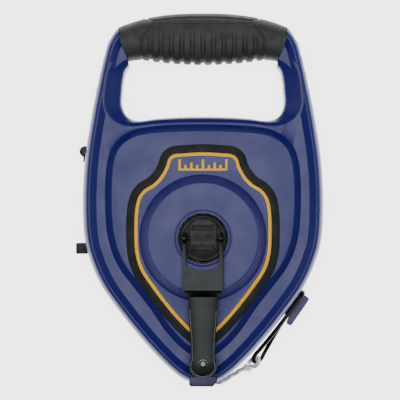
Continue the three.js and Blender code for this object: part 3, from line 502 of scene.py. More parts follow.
finish = {
    "caseBlue": mouldedAbs("mouldedAbsBlue", "#10125a", "#1a1d70"),
    "guideBlue": mouldedAbs("mouldedAbsDeepBlue", "#0d0f4c", "#14165a"),
    "gripRubber": mouldedRubber("mouldedRubber", "#2b2d2c", "#363938"),
    "trimRubber": mouldedRubber("trimRubber", "#0b0e0d", "#121514"),
    "yellow": printedYellow("printedEnamelYellow"),
    "blackPlastic": satinPlastic("blackNylon", "#070808", "#0d0f0e", ior=1.25),
    # lighter nylon for the hub block's top faces: painted light that makes the shaded slots read darker
    "paintedLitTopNylon": satinPlastic("paintedLitTopNylon", "#1b1e1c", "#242725", 0.5, ior=1.3),
    "blackSteel": blackOxide("blackOxideSteel"),
    # pale steel: a painted highlight where it lines the arm's rim; also used for the rivet head
    "paleSteelHighlight": platedSteel("paleSteelHighlight", "#4a4d4e", 0.25, "#3b3e3f"),
    "steel": platedSteel("zincPlatedSteel"),
    "acetal": satinPlastic("whiteAcetal", "#d8d6cd", "#e2e0d8"),
    "felt": pressedFelt("pressedFelt"),
    "lineWhite": braidedYarn("braidedYarnWhite", "#d2d6dd", "#eef0f3"),
    "lineBlack": braidedYarn("braidedYarnBlack", "#1b1c22", "#2c2e36", "#232733"),
}
print("finishes made")

silhouette = mirrored(silhouetteHalf, 520)
panelTop = mirrored(panelHalf, 260)
stripeLine = mirrored(stripeHalf, 280)
opening = mirrored(openingHalf, 200)


# case
caseForm = {
    "terrace": 41.5, "ridge": 46, "ridgeAtGrip": 42.4, "panel": 46.5, "panelFoot": 4.6,
    "disc": 55, "discRadius": 37, "discFoot": 42.4, "collar": 56.2, "hubHole": 16.5,
    "roll": 5.2, "rollDepth": 8, "sideRoll": 1.12,
    "toothPitch": 10.5, "toothDepth": 0.7, "teethFrom": 69, "teethTo": 139,
    "wall": 3.2, "knobDish": (0, -83),
}
trimForm = {"stripe": 1.1, "band": 6.4, "seam": 0.16, "floor": 45.4, "bandTop": 46.95, "stripeTop": 46.8}
screwForm = {
    "places": [(65, 60), (50.5, -44.5), (26, -71.5), (63, 100)],
    "well": 3.6, "seat": 8, "head": 2.95, "shank": 1.3, "recess": (1.7, 0.32),
}
doorForm = {
    "top": 54, "bottom": -3.6, "back": 14.5, "front": 35.5, "thickness": 2.8,
    "hinge": (-79.5, 58.1), "knuckle": 3.7, "knuckleBack": 17, "knuckleFront": 33,
}
guideForm = {
    "half": 9.5, "top": -88.6, "step": -92.4, "bottom": -99.6, "back": 8, "middle": 40, "front": 42.8,
}
hookForm = {"angle": math.radians(55.2), "top": (68.3, -36.3), "height": 25, "wire": 1.4, "eyeEnd": -58.4}


def flipped(work):
    # turned over about the joint between the halves
    for vert in work.verts:
        vert.co.z = 2 * parting - vert.co.z
    bmesh.ops.reverse_faces(work, faces=work.faces)
    return work


def crestDrop(work):
    # the rim comes down along the arms to meet the grip
    for vert in work.verts:
        share = max(0, (vert.co.z - parting) / (caseForm["ridge"] - parting))
        vert.co.z -= (caseForm["ridge"] - caseForm["ridgeAtGrip"]) * ease(76, 132, vert.co.y) * share


def fingerTeeth(work):
    # shallow steps down the outer edges of the arms
    low, high = caseForm["teethFrom"], caseForm["teethTo"]
    for vert in work.verts:
        x, y, z = vert.co
        if abs(x) < 30 or abs(z - parting) > 15:
            continue
        fade = 1 - ease(9, 15, abs(z - parting))
        if low < y < high:
            share = ((y - low) / caseForm["toothPitch"]) % 1
            step = ease(0, 0.12, share) * (1 - share) * caseForm["toothDepth"] * 1.3
            vert.co.x -= math.copysign(step * fade, x)


def quarter(inset, low, high, steps=9):
    # rounded shoulder from a wall to a face
    made = []
    for i in range(steps + 1):
        angle = math.radians(90 * i / steps)
        made.append((inset * (1 - math.cos(angle)), low + (high - low) * math.sin(angle)))
    return made


def openingCutter(face):
    roll, depth = caseForm["roll"], caseForm["rollDepth"]
    steps = [(-d, z) for d, z in quarter(roll, face - depth, face)]
    work = slab(opening, parting - 1, [*steps, (-roll, face + 12)])
    for vert in work.verts:
        vert.co.x *= 1 + (caseForm["sideRoll"] - 1) * ease(face - depth, face, vert.co.z)
    return work


def gripZone(back=0):
    side = [(x - back, y) for x, y in ((56.6, 170), (56.6, 141), (55.8, 132), (50.2, 118.5), (50.2, 100))]
    outline = [Vector(p) for p in side[::-1]] + [Vector((-x, y)) for x, y in side]
    return slab(outline, -20, [(0, 80)])


def sideStrip(outer, inner, low, high):
    # strip along the left wall, between two distances in from it
    wall = [p for p in silhouette if p.x < -50 and low < p.y < high]
    wall.sort(key=lambda p: -p.y)
    ends = [(high, wall[0].x), (low, wall[-1].x)]
    wall = [Vector((ends[0][1], high)), *wall[1:-1], Vector((ends[1][1], low))]
    return [p + Vector((outer, 0)) for p in wall] + [p + Vector((inner, 0)) for p in wall[::-1]]


def prism(outline, low, high, edge=0):
    flat = [Vector(p) for p in outline]
    area = sum(a.x * b.y - b.x * a.y for a, b in zip(flat, flat[1:] + flat[:1]))
    if area < 0:
        flat.reverse()
    steps = [(0, high)] if not edge else [(0, high - edge), (edge * 0.3, high - edge * 0.3), (edge, high)]
    return slab(flat, low, steps)


def guideOutline(top, grow=0, mouth=False):
    half, bottom = guideForm["half"], guideForm["bottom"]
    corner = [(half, -96.4), (6.6, bottom)] if mouth else [(half + grow, bottom - grow)]
    return [
        (-half - grow, top + grow), (half + grow, top + grow), *corner,
        (-half + 1.2 - grow, bottom - grow), (-half - grow, bottom + 1.2 - grow),
    ]


def hookPoint(u, n):
    # u runs up the parked hook, n points away from the case
    angle = hookForm["angle"]
    along = Vector((math.cos(angle), math.sin(angle)))
    outwards = Vector((math.sin(angle), -math.cos(angle)))
    return Vector(hookForm["top"]) + along * u + outwards * n


def catchStem(grow, deep):
    upper, lower = -7.4 + grow, -20 - grow
    return [hookPoint(upper, 4), hookPoint(lower, 4), hookPoint(lower, deep), hookPoint(upper, deep)]


def sharedCuts(front):
    # what either half of the case has a share of: grip, hollow, door frame, outlet and catch
    door, guide = doorForm, guideForm
    low, high = door["back"], door["front"]
    inner = [p for p in offset(silhouette, caseForm["wall"]) if p.y < 74]
    hollow = prism(inner, parting - 1, 35, 3) if front else flipped(prism(inner, parting - 1, 42, 4))
    near, far = (parting, 100) if front else (-100, parting)
    frame = carve(
        "doorFrame", prism(sideStrip(1.5, 8, -4, 53), low - 3, high + 3),
        ("INTERSECT", cuboid(-200, 200, -200, 200, near, far)),
    )
    plateBed = sideStrip(-4, door["thickness"] + 0.4, door["bottom"] - 8, door["top"] + 0.5)
    knuckleBed = [(0, low - 0.4), (4.4, low - 0.4), (4.4, high + 0.4), (0, high + 0.4)]
    return [
        ("DIFFERENCE", gripZone()),
        ("DIFFERENCE", hollow),
        ("UNION", reopen(frame)),
        ("DIFFERENCE", prism(plateBed, low - 0.4, high + 0.4)),
        ("DIFFERENCE", prism(sideStrip(2, 5.1, 2.5, 48), low + 0.7, high - 0.7)),
        ("DIFFERENCE", prism(sideStrip(2, 10, 5.5, 45), low + 3.5, high - 3.5)),
        ("DIFFERENCE", turned(knuckleBed, 48, *door["hinge"])),
        ("DIFFERENCE", prism(guideOutline(guide["top"], 0.12), guide["back"] - 0.2, guide["middle"])),
        ("DIFFERENCE", prism(guideOutline(guide["step"], 0.12), guide["back"] - 0.2, 60)),
        ("DIFFERENCE", prism(catchStem(0.2, -7), parting - 5.2, parting + 5.2)),
    ]


def makeFrontShell():
    form = caseForm
    rim = [
        *quarter(5, 36, form["ridge"], 12), (5.35, 45.85), (9.1, 41.8), (9.5, 41.58), (10, form["terrace"]),
    ]
    body = slab(silhouette, parting, rim)
    crestDrop(body)
    fingerTeeth(body)
    foot = form["panelFoot"]
    slope = [
        (0, 41.4), (0.35, 41.62), (0.8, 42.1), (foot - 0.5, 46.0), (foot - 0.15, 46.36),
        (foot + 0.4, form["panel"]),
    ]
    plate = slab(offset(panelTop, -foot - 0.2), 38, slope)
    inlay = slab(offset(stripeLine, -trimForm["band"] - trimForm["seam"]), trimForm["floor"], [(0, 60)])
    inner = offset(stripeLine, trimForm["stripe"] + trimForm["seam"])
    plateau = slab(inner, 44, [(0, 46.4), (0.12, form["panel"])])
    radius, foot = form["discRadius"], form["discFoot"]
    gearbox = turned([
        (0, 43), (foot + 0.6, 43), (foot + 0.5, 46.45), (foot, 46.6), (foot - 0.5, 46.95),
        (radius + 0.75, 54.1), (radius + 0.35, 54.65),
        (radius - 0.1, 54.93), (radius - 0.7, form["disc"]), (0, form["disc"]),
    ], 192)
    top = form["collar"]
    collar = turned([(0, 53), (18.7, 53), (18.7, 55.5), (18.45, 55.95), (17.9, top), (0, top)], 128)
    groove = turned([(18.7, 54.3), (19.35, 54.3), (19.5, 54.6), (19.5, 57), (18.7, 57)], 128)
    hole = form["hubHole"]
    well = turned([(0, 20), (hole, 20), (hole, 55.7), (hole + 0.5, 56.3), (hole + 0.5, 70), (0, 70)], 128)
    dish = turned([
        (0, 40.9), (7.6, 40.9), (8.8, 41.4), (9.6, 42.4), (11.2, 45.9), (11.7, 46.4), (12.6, 46.7),
        (12.6, 60), (0, 60),
    ], 96, *form["knobDish"])
    shell = carve(
        "frontShell", body, ("UNION", plate), ("DIFFERENCE", inlay), ("UNION", plateau), ("UNION", gearbox),
        ("UNION", collar), ("DIFFERENCE", groove), ("DIFFERENCE", openingCutter(form["terrace"])),
        *sharedCuts(True), ("DIFFERENCE", well), ("DIFFERENCE", dish),
    )
    return finishPiece(shell, "frontShell", "case", finish["caseBlue"], ["front_shell"])


def makeBackShell():
    body = slab(silhouette, parting, [*quarter(9.4, 37, 48, 12), (10, 48)])
    fingerTeeth(body)
    body = flipped(body)
    steps = [(0, 47.5), (0.3, 48.2), (1.6, 49.6), (2.2, 50)]
    plate = flipped(slab(offset(panelTop, -1), 44, steps))
    # scaled and not offset, because an offset this deep folds over at the tip
    middle = sum(panelTop, Vector((0, 0))) / len(panelTop)
    rib = flipped(slab([middle + (p - middle) * 0.86 for p in panelTop], 49.2, [(0, 60)]))
    boss = flipped(slab([middle + (p - middle) * 0.835 for p in panelTop], 44, [(0, 49.7), (0.3, 50)]))
    changes = [
        ("UNION", plate), ("DIFFERENCE", rib), ("UNION", boss), ("DIFFERENCE", flipped(openingCutter(48))),
        *sharedCuts(False),
    ]
    well, seat = screwForm["well"], screwForm["seat"]
    post = [(0, 3), (4, 3), (4, parting), (0, parting)]
    bore = [(0, -5), (well + 0.5, -5), (well + 0.5, 2.2), (well, 3.4), (well, seat), (0, seat)]
    for x, y in screwForm["places"]:
        for side in (x, -x):
            changes += [("UNION", turned(post, 32, side, y)), ("DIFFERENCE", turned(bore, 40, side, y))]
    shell = carve("backShell", body, *changes)
    return finishPiece(shell, "backShell", "case", finish["caseBlue"], ["back_shell"])


# grip
gripForm = {
    "depth": 17.4, "power": 2.7, "ribPitch": 7.05, "ribDepth": 1.5, "groove": 0.8, "grooveWidth": 0.9,
    "padTop": 143.4, "padHalf": 41, "padCorner": (34, 134.4), "inlayEnd": 33.4,
    "inlay": [
        (-39.4, 150), (-38.2, 148), (-33.4, 145.8), (0, 147.9), (33.4, 145.8), (38.2, 148), (39.4, 150),
    ],
}


def gripTop(x):
    return 151.6 - 9.4 * (abs(x) / 56.6) ** 2.6


def gripUnderside(x):
    return 116.8 + 3.5 * min(1, abs(x) / 42) ** 2 - 1.6 * ease(42, 56, abs(x))


def nearLine(point, line):
    # distance from a point to a run of straight stretches
    best = 99
    for a, b in zip(line, line[1:]):
        a, b = Vector(a), Vector(b)
        share = min(1, max(0, (point - a).dot(b - a) / (b - a).length_squared))
        best = min(best, (point - a.lerp(b, share)).length)
    return best


def gripDent(x, y):
    # how far the surface sinks: outline groove of the pad, groove of the upper inlay, ribs
    form = gripForm
    point = Vector((x, y))
    cornerX, cornerY = form["padCorner"]
    half, top = form["padHalf"], form["padTop"]
    crown = top + 0.9 * (1 - (x / half) ** 2)
    pad = [(-half, 112), (-half, cornerY), (-cornerX, top), (cornerX, top), (half, cornerY), (half, 112)]
    edge = abs(y - crown) if abs(x) < cornerX else nearLine(point, pad)
    dent = form["groove"] * (1 - ease(0.2, form["grooveWidth"], edge))
    if abs(x) > form["inlayEnd"]:
        inlay = nearLine(point, form["inlay"])
    else:
        inlay = abs(y - (145.8 + 2.1 * (1 - (x / form["inlayEnd"]) ** 2)))
    fade = 1 - ease(149, 151, y) * (abs(x) < 33)
    dent += form["groove"] * (1 - ease(0.2, form["grooveWidth"], inlay)) * fade
    if abs(x) < half - 0.8:
        place = (x / form["ribPitch"]) % 1  # 0 in the middle of a gap, 0.5 on a rib
        gap = 1 - ease(0.10, 0.26, min(place, 1 - place))
        deep = ease(-140, -124, -y) * 0.85 + 0.15 * ease(-142, -138, -y)
        dent += form["ribDepth"] * gap * deep
    return dent


def gripSurface():
    form = gripForm
    work = bmesh.new()
    across, around = 300, 200
    bmesh.ops.create_grid(work, x_segments=across, y_segments=around, size=1)
    for vert in work.verts:
        u, v, _ = vert.co
        x = u * 58
        angle = math.pi * (v + 1)
        top, bottom = gripTop(x), gripUnderside(x)
        cosine, sine = math.cos(angle), math.sin(angle)
        middle, reach = (top + bottom) / 2, (top - bottom) / 2
        y = middle + reach * math.copysign(abs(cosine) ** (2 / form["power"]), cosine)
        z = form["depth"] * math.copysign(abs(sine) ** (2 / form["power"]), sine)
        inward = Vector((middle - y, -z))
        dent = gripDent(x, y)
        if inward.length > 0:
            inward *= dent / inward.length
        vert.co = (x, y + inward.x, parting + z + inward.y)
    bmesh.ops.remove_doubles(work, verts=work.verts, dist=1e-3)
    bmesh.ops.holes_fill(work, edges=[e for e in work.edges if len(e.link_faces) == 1], sides=0)
    bmesh.ops.recalc_face_normals(work, faces=work.faces)
    return work


def makeGrip():
    halves = (("gripFront", "grip_front", 25.08, 90), ("gripBack", "grip_back", -30, 24.92))
    for name, node, low, high in halves:
        room = cuboid(-90, 90, 90, 170, low, high)
        half = carve(name, gripSurface(), ("INTERSECT", gripZone(0.12)), ("INTERSECT", room))
        finishPiece(half, name, "case", finish["gripRubber"], [node], smoothBelow=50)


# trim
def makeTrim():
    form = trimForm
    steps = [(0, 46.5), (0.12, 46.8), (0.4, form["bandTop"])]
    outer = slab(offset(stripeLine, -form["band"]), form["floor"] + 0.1, steps)
    inner = slab(offset(stripeLine, -form["stripe"] - form["seam"]), 40, [(0, 60)])
    band = carve("trimBand", outer, ("DIFFERENCE", inner))
    finishPiece(band, "trimBand", "case", finish["trimRubber"], ["trim_band"])
    steps = [(0, 46.6), (0.08, 46.74), (0.24, form["stripeTop"])]
    outer = slab(offset(stripeLine, -form["stripe"]), form["floor"] + 0.1, steps)
    inner = slab(offset(stripeLine, form["stripe"]), 40, [(0, 60)])
    stripe = carve("trimStripe", outer, ("DIFFERENCE", inner))
    finishPiece(stripe, "trimStripe", "case", finish["yellow"], ["trim_stripe"])


badgeForm = {
    "left": -16.4, "right": 16.4, "bottom": 45, "top": 52.6,
    "ticks": 9, "bar": 1.6, "base": 1.4, "height": 46.72,
}


def makeBadge():
    form = badgeForm
    low, high = form["height"] - 0.6, form["height"]
    left, right, bottom, bar = form["left"], form["right"], form["bottom"], form["bar"]
    bars = []
    for i in range(form["ticks"]):
        x = left + bar / 2 + (right - left - bar) * i / (form["ticks"] - 1)
        top = form["top"] - (0 if i % 4 == 0 else 2.2 if i % 2 == 0 else 3.8)
        bars.append(("UNION", cuboid(x - bar / 2, x + bar / 2, bottom + 0.5, top, low, high, 0.1, 2)))
    base = cuboid(left, right, bottom, bottom + form["base"], low, high, 0.1, 2)
    badge = carve("scaleBadge", base, *bars)
    finishPiece(badge, "scaleBadge", "case", finish["yellow"], ["tick_badge"])


makeFrontShell()
makeBackShell()
makeGrip()
makeTrim()
makeBadge()
print("case made")


# swept and sideways solids
def sweep(path, radius, sides, closed=False):
    # round bar along a path, with its section carried along without twisting
    work = bmesh.new()
    n = len(path)
    ways = []
    for i in range(n):
        before = path[i - 1] if closed or i > 0 else path[0]
        after = path[(i + 1) % n] if closed or i < n - 1 else path[-1]
        ways.append((after - before).normalized())
    across = [ways[0].orthogonal().normalized()]
    for way in ways[1:]:
        across.append((across[-1] - way * across[-1].dot(way)).normalized())
    twist = 0
    if closed:
        last = (across[-1] - ways[0] * across[-1].dot(ways[0])).normalized()
        twist = math.atan2(last.cross(across[0]).dot(ways[0]), last.dot(across[0]))
    rings = []
    for i, (point, way, first) in enumerate(zip(path, ways, across)):
        second = way.cross(first)
        ring = []
        for k in range(sides):
            angle = tau * k / sides + twist * i / n
            reach = first * math.cos(angle) * radius + second * math.sin(angle) * radius
            ring.append(work.verts.new(point + reach))
        rings.append(ring)
    pairs = zip(rings, rings[1:] + rings[:1]) if closed else zip(rings, rings[1:])
    for a, b in pairs:
        for k in range(sides):
            m = (k + 1) % sides
            work.faces.new((a[k], a[m], b[m], b[k]))
    if not closed:
        work.faces.new(rings[0][::-1])
        work.faces.new(rings[-1])
    bmesh.ops.recalc_face_normals(work, faces=work.faces)
    return work


def absorb(work, part):
    # adds a part to a mesh in work, and frees the part
    mesh = bpy.data.meshes.new("part")
    part.to_mesh(mesh)
    part.free()
    work.from_mesh(mesh)
    bpy.data.meshes.remove(mesh)


def sideways(outline, left, right, edge=0):
    # solid on an outline of (y, z) points, between two places along X
    work = prism(outline, left, right, edge)
    for vert in work.verts:
        x, y, z = vert.co
        vert.co = (z, x, y)
    return work


def circle(radius, x=0, y=0, count=32, start=0, end=360):
    spread = math.radians(end - start)
    steps = count if end - start >= 360 else count - 1
    return [
        (x + radius * math.cos(math.radians(start) + spread * i / steps),
         y + radius * math.sin(math.radians(start) + spread * i / steps))
        for i in range(count)
    ]


# hook, and the line tied to it
lineForm = {
    "diameter": 2.8, "strands": 8, "lay": 7.5,
    "free": [
        (8.4, -98.25, 17), (10.2, -98.75, 17.1), (12, -98.55, 17.4), (13.8, -97.7, 17.9), (15.6, -96.5, 18.5),
        (17.4, -95.3, 19.1), (19.2, -94.1, 19.8), (21, -92.9, 20.5), (22.8, -91.75, 21.3), (24.6, -90.6, 22),
        (26.4, -89.6, 22.8),
    ],
    "loop": 3.15, "knotWay": (-0.8, -0.6, -0.16),
}
hookSide = [
    (-5.6, 0, 0), (-4.6, 4, 0), (-1.2, 7.4, 0), (-3.6, 10.2, -0.1), (-14, 10.4, -0.4), (-28, 9.6, -0.8),
    (-40, 7, -1.5), (-49, 4.1, -2.1), (-54.6, 3, -2.6), (-57.4, 1.7, -1.7),
]


def atHook(u, z, n):
    flat = hookPoint(u, n)
    return Vector((flat.x, flat.y, hookForm["height"] + z))


eye = atHook(hookForm["eyeEnd"], 0, 0)
knotWay = Vector(lineForm["knotWay"]).normalized()
away = Vector((math.sin(hookForm["angle"]), -math.cos(hookForm["angle"]), 0))
acrossEye = away * 0.74 + Vector((0, 0, 0.67))
loopSide = (acrossEye - knotWay * acrossEye.dot(knotWay)).normalized()
knotPlace = eye + knotWay * (lineForm["loop"] + lineForm["diameter"] / 2 + 2.1)


def makeHook():
    there = [atHook(*p) for p in hookSide]
    back = [atHook(u, -z, -n) for u, z, n in hookSide[1:][::-1]]
    path = smoothPath([*there, eye, *back], 300, closed=True)
    wire = toObject(sweep(path, hookForm["wire"], 16, closed=True))
    return finishPiece(wire, "wireHook", "line_hook", finish["blackSteel"], ["line_hook"])


def lineRoute():
    # out of the outlet, through the knot, round the eye of the hook and back to the knot
    reach = lineForm["loop"]
    turn = [
        eye + knotWay * reach * math.cos(a) + loopSide * reach * math.sin(a)
        for a in [math.radians(d) for d in range(62, 299, 26)]
    ]
    tail = eye + knotWay * 4.4 - loopSide * 1.8
    return [Vector(p) for p in lineForm["free"]] + [knotPlace, *turn, tail]


def braid(route):
    # two sets of strands cross over and under each other round a core
    radius = lineForm["diameter"] / 2
    work = sweep(route, radius * 0.86, 12)
    colours = [0] * len(work.faces)
    frames = []
    first = None
    for i, point in enumerate(route):
        way = (route[min(i + 1, len(route) - 1)] - route[max(i - 1, 0)]).normalized()
        if first is None:
            first = way.orthogonal().normalized()
        else:
            first = (first - way * first.dot(way)).normalized()
        frames.append((point, first, way.cross(first)))
    along = [0.0]
    for a, b in zip(route, route[1:]):
        along.append(along[-1] + (b - a).length)
    count = lineForm["strands"]
    for hand in (1, -1):
        for strand in range(count):
            path = []
            for (point, side, up), run in zip(frames, along):
                turns = run / lineForm["lay"]
                angle = hand * tau * turns + tau * strand / count
                over = math.sin(tau * turns * count + math.pi * strand) * hand
                reach = radius - 0.3 + 0.1 * over
                path.append(point + (side * math.cos(angle) + up * math.sin(angle)) * reach)
            before = len(work.faces)
            absorb(work, sweep(path, 0.33, 6))
            dark = strand in (0, 1) if hand == 1 else strand in (4, 5)
            colours += [1 if dark else 0] * (len(work.faces) - before)
    work.faces.ensure_lookup_table()
    for face, colour in zip(work.faces, colours):
        face.material_index = colour
    return work


def makeLine():
    route = smoothPath(lineRoute(), 260)
    cord = toObject(braid(route))
    marks = [0] * len(cord.data.polygons)
    cord.data.polygons.foreach_get("material_index", marks)
    finishPiece(cord, "braidedLine", None, finish["lineWhite"], ["line_free", "line_loop"])
    cord.data.materials.append(finish["lineBlack"])
    cord.data.polygons.foreach_set("material_index", marks)
    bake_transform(cord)


def makeKnot():
    # two turns of the line drawn tight, with short frayed ends
    turns = []
    side = loopSide
    up = knotWay.cross(side)
    if up.dot(away) < 0:
        up = -up  # the loose ends point away from the case
    for i in range(81):
        angle = tau * 2 * i / 80
        lift = 0.8 * (i / 80 - 0.5) * 2
        turns.append(knotPlace + knotWay * lift + (side * math.cos(angle) + up * math.sin(angle)) * 1.55)
    work = sweep(turns, 1.05, 12)
    for spread in range(9):
        angle = tau * spread / 9
        start = knotPlace + up * 2.0
        lean = (side * math.cos(angle) + knotWay * math.sin(angle)) * 0.9
        tuft = [start + (up * 3.4 + lean) * share + lean * share * share * 0.5 for share in (0, 0.35, 0.7, 1)]
        absorb(work, sweep(tuft, 0.2, 5))
    knot = toObject(work)
    return finishPiece(knot, "lineKnot", "line_hook", finish["lineWhite"], ["line_knot"])


# outlet block
def makeGuide():
    form = guideForm
    lower = prism(guideOutline(form["top"], -0.05, mouth=True), form["back"], form["middle"] - 0.3, 0.5)
    upper = prism(guideOutline(form["step"], -0.05, mouth=True), form["back"] + 2, form["front"], 0.7)
    heading = math.radians(-24)
    start = Vector((8.1, -98.1, 17))
    way = Vector((math.cos(heading), math.sin(heading), 0))
    bore = sweep([start - way * 14, start + way * 6], 1.75, 24)
    throat = sweep([start - way * 14, Vector((-1.2, -84, 17))], 1.75, 24)
    block = carve(
        "lineGuide", lower, ("UNION", upper), ("DIFFERENCE", bore), ("DIFFERENCE", throat),
    )
    return finishPiece(block, "lineGuide", "case", finish["guideBlue"], ["line_guide"])


# crank
crankForm = {
    "pivot": 62, "sheet": 1.6, "web": 61.2, "low": 58, "half": 13.5, "webStart": -17, "bend": (-34.4, -39),
    "cheek": 2.6, "cheekRadius": 3.6, "cheekLow": 59.2, "neck": 9.6, "neckLow": 8.1, "end": (0, -83),
    "endRadius": 9.5, "rim": 1.0, "rimInset": 1.0, "rimStart": -47.6,
}
hubForm = {
    "radius": 16, "top": 58, "blockTop": 65, "half": 9, "high": 12.9, "low": -10.6, "slotHalf": 7.5,
    "slotHeight": 3.8, "slots": [7.1, 0.4, -6.3], "slotDepth": 6,
}


def makeHub():
    form = hubForm
    half, high, low = form["half"], form["high"], form["low"]
    radius, top = form["radius"], form["top"]
    body = turned([
        (0, 50.3), (20.5, 50.3), (20.5, 50.6), (radius, 50.6), (radius, top - 1.3), (radius - 0.4, top - 0.5),
        (radius - 1.2, top), (13.6, top), (13.2, top - 0.5), (12.6, top - 0.5), (12.2, top), (0, top),
    ], 96)
    outline = [
        (-half, high - 4), (-half + 4, high), (half - 4, high), (half, high - 4), (half, low + 4),
        (half - 4.4, low), (-half + 4.4, low), (-half, low + 4),
    ]
    changes = [("UNION", prism(outline, top - 1, form["blockTop"], 0.55))]
    slotHalf, slotHigh = form["slotHalf"], form["slotHeight"] / 2
    for y in form["slots"]:
        floor = form["blockTop"] - (1.2 if y == form["slots"][1] else form["slotDepth"])
        changes.append(("DIFFERENCE", cuboid(-slotHalf, slotHalf, y - slotHigh, y + slotHigh, floor, 80)))
    middle = form["slots"][1]
    changes.append(("UNION", cuboid(-0.5, 0.5, middle - slotHigh - 0.2, middle + slotHigh + 0.2, 63, 64.4)))
    pinHole = sideways(circle(1.65, 0, crankForm["pivot"]), -40, 40)
    changes.append(("DIFFERENCE", pinHole))
    changes.append(("DIFFERENCE", turned([(0, 40), (3.3, 40), (3.3, 48.2), (0, 48.2)], 48)))
    hub = carve("crankHub", body, *changes)
    finishPiece(hub, "crankHub", "crank", finish["blackPlastic"], ["crank_hub"])
    hub.data.materials.append(finish["paintedLitTopNylon"])  # lighter finish on the block's top faces: painted light, the lit tops set against the shade in the slots
    for face in hub.data.polygons:
        if face.center.z > (form["blockTop"] - 0.7) * mm:
            face.material_index = 1


def armHalf(y):
    # half the sheet's width at each place along it
    form = crankForm
    if y > form["bend"][0]:
        return form["half"] - form["sheet"] * 0.4
    shoulder = 1 - ease(form["bend"][1], form["bend"][0], y)
    narrow = form["neck"] + (form["neckLow"] - form["neck"]) * ease(48, 72, -y)
    return (form["half"] - form["sheet"] * 0.4) * (1 - shoulder) + narrow * shoulder


def armHeight(y):
    # underside of the sheet: low over the case, higher beside the hub
    form = crankForm
    return form["low"] + (form["web"] - form["low"]) * ease(form["bend"][1], form["bend"][0], y)


def makeArm():
    form = crankForm
    sheet, low, web = form["sheet"], form["low"], form["web"]
    endX, endY = form["end"]
    stations = [form["webStart"] - (form["webStart"] - endY) * i / 120 for i in range(121)]
    neckEnd = endY + 3
    stations = [y for y in stations if y > neckEnd] + [neckEnd]
    left = [Vector((-armHalf(y), y)) for y in stations]
    right = [Vector((armHalf(y), y)) for y in reversed(stations)]
    tip = [Vector(p) for p in circle(form["endRadius"], endX, endY, 41, 198, 342)]
    plate = prism([*left, *tip, *right], 0, sheet, 0.25)
    bmesh.ops.triangulate(plate, faces=[f for f in plate.faces if len(f.verts) > 4])
    for y in (-36.7, *[-34 - 0.5 * k for k in range(12)]):  # enough cuts for a round bend
        whole = plate.verts[:] + plate.edges[:] + plate.faces[:]
        bmesh.ops.bisect_plane(plate, geom=whole, plane_co=(0, y, 0), plane_no=(0, 1, 0))
    for vert in plate.verts:
        vert.co.z += armHeight(vert.co.y)
    hubClear = turned([(0, 50), (21.4, 50), (21.4, 70), (0, 70)], 96)
    changes = [("DIFFERENCE", hubClear)]
    pivot, top, foot, bend = form["pivot"], web + sheet, form["cheekLow"], form["bend"][0]
    cheekEnd = circle(form["cheekRadius"], 0, pivot, 32)
    cheekBar = [(0, foot), (0, top + 0.6), (-8, top), (bend, top), (bend, foot)]
    for side in (-1, 1):
        near, far = sorted((side * form["half"], side * (form["half"] - form["cheek"])))
        changes.append(("UNION", sideways(cheekEnd, near, far, 0.3)))
        changes.append(("UNION", sideways(cheekBar, near, far, 0.3)))
    changes.append(("DIFFERENCE", sideways(circle(1.6, 0, pivot), -30, 30)))
    rimTop, inset = low + sheet - 0.15, form["rimInset"]
    edge = [Vector((inset - armHalf(y), y, rimTop)) for y in (form["rimStart"], -52, -58, -64, -70, -76, -80)]
    arc = [Vector((x, y, rimTop)) for x, y in circle(form["endRadius"] - inset, endX, endY, 25, 200, 340)]
    other = [Vector((-p.x, p.y, p.z)) for p in edge[::-1]]
    # the rim goes on the black arm in pale steel: a painted highlight for the bright lines along the flange
    rim = toObject(sweep(smoothPath([*edge, *arc, *other], 200), form["rim"] / 2, 12))
    finishPiece(rim, "armRim", "crank_arm", finish["paleSteelHighlight"], [])
    arm = carve("crankArm", plate, *changes)
    finishPiece(
        arm, "crankArm", "crank_arm", finish["blackSteel"], ["crank_arm"], smoothBelow=38,
    )


def makeKnob():
    x, y = crankForm["end"]
    profile = [
        (1.9, 47.2), (7.2, 47.2), (8.2, 47.6), (8.6, 48.5), (8.6, 50), (7.6, 51.8), (7.3, 53), (7.6, 54.4),
        (8.4, 55.6), (8.6, 56.6), (8.2, 57.4), (7.4, 57.7), (1.9, 57.7),
    ]
    knob = toObject(turned(profile, 96, x, y))
    finishPiece(knob, "crankKnob", "crank_knob", finish["blackPlastic"], ["crank_knob"])


# door
def makeDoor():
    form = doorForm
    low, high = form["back"], form["front"]
    plate = prism(sideStrip(0, form["thickness"], form["bottom"] - 7.2, form["top"]), low, high, 0.5)
    x, y = form["hinge"]
    radius, back, front = form["knuckle"], form["knuckleBack"], form["knuckleFront"]
    knuckle = turned([
        (0, back), (radius - 0.4, back), (radius, back + 0.4), (radius, front - 0.4), (radius - 0.4, front),
        (0, front),
    ], 48, x, y)
    link = cuboid(x - 1.2, x + 2.2, form["top"] - 3, y - 2, back, front, 0.3, 2)
    tab = cuboid(-85.7, -78, -11, -3.6, back + 1, front - 1, 0.7, 3)
    bore = turned([(0, 0), (1.4, 0), (1.4, 60), (0, 60)], 32, x, y)
    changes = [("UNION", knuckle), ("UNION", link), ("UNION", tab), ("DIFFERENCE", bore)]
    for step in range(4):
        groove = -84.4 + step * 1.5
        changes.append(("DIFFERENCE", cuboid(groove, groove + 0.6, -20, 0, front - 1.5, 40)))
    door = carve("fillDoor", plate, *changes)
    finishPiece(door, "fillDoor", "fill_door", finish["blackPlastic"], ["fill_door"])


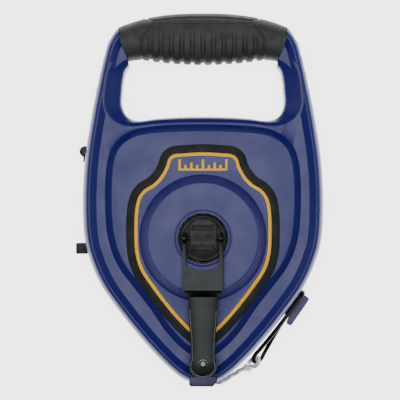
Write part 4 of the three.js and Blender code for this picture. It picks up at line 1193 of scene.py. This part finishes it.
# fasteners
def makeScrews():
    # pan heads with a cross recess, seen in their wells from the back
    radius, shank, recess = screwForm["head"], screwForm["shank"], screwForm["recess"]
    for number in range(1, 2 * len(screwForm["places"]) + 1):
        name, node = f"caseScrew{number}", f"case_screw_{number}"
        low, high = nodeBox(node)
        x, y = (low[0] + high[0]) / 2, (low[1] + high[1]) / 2
        top, end = low[2], high[2]
        head = turned([
            (0, top), (1.7, top), (2.6, top + 0.35), (radius, top + 1.1), (radius, top + 2.2),
            (shank, top + 2.3), (shank, end - 0.6), (0.7, end), (0, end),
        ], 40, x, y)
        cross = [
            ("DIFFERENCE", cuboid(x - across, x + across, y - along, y + along, top - 2, top + 1.2))
            for across, along in (recess, recess[::-1])
        ]
        screw = carve(name, head, *cross)
        finishPiece(screw, name, "case", finish["steel"], [node])


def makeRivet():
    # dished head with a raised ring, spread over the end of the arm
    x, y = crankForm["end"]
    low, high = nodeBox("knob_rivet")
    top = high[2]
    work = turned([
        (0, low[2]), (1.7, low[2]), (1.7, 59.75), (3.3, 59.75), (3.3, top - 0.5), (3.0, top - 0.1),
        (2.5, top), (2.1, top - 0.2), (1.6, top - 0.75), (0, top - 0.85),
    ], 64, x, y)
    rivet = toObject(work)
    finishPiece(rivet, "knobRivet", "crank_arm", finish["paleSteelHighlight"], ["knob_rivet"])


hook = makeHook()
knot = makeKnot()
makeLine()
makeGuide()
makeHub()
makeArm()
makeKnob()
makeRivet()
makeDoor()
makeScrews()
print("pieces made")


# finishes of the CAD pieces that show as they are
carried = {
    "hook_catch": "guideBlue", "felt_wiper_front": "felt", "felt_wiper_back": "felt",
    "line_run": "lineWhite", "door_seal": "gripRubber", "door_hinge_pin": "blackSteel",
    "spool_axle": "steel", "spool_back_flange": "acetal", "spool_front_flange": "acetal",
    "spool_core": "acetal", "line_winding": "lineWhite", "spool_washer": "steel", "sun_gear": "acetal",
    "ring_gear": "acetal", "planet_gear_1": "blackPlastic", "planet_gear_2": "blackPlastic",
    "planet_gear_3": "blackPlastic", "planet_carrier": "blackPlastic", "carrier_screw_1": "steel",
    "carrier_screw_2": "steel", "carrier_screw_3": "steel", "hub_seal": "felt",
    "crank_pivot_pin": "blackSteel",
}
for node, kind in carried.items():
    shown = bpy.data.objects[node]
    shown.data.materials.clear()
    shown.data.materials.append(finish[kind])
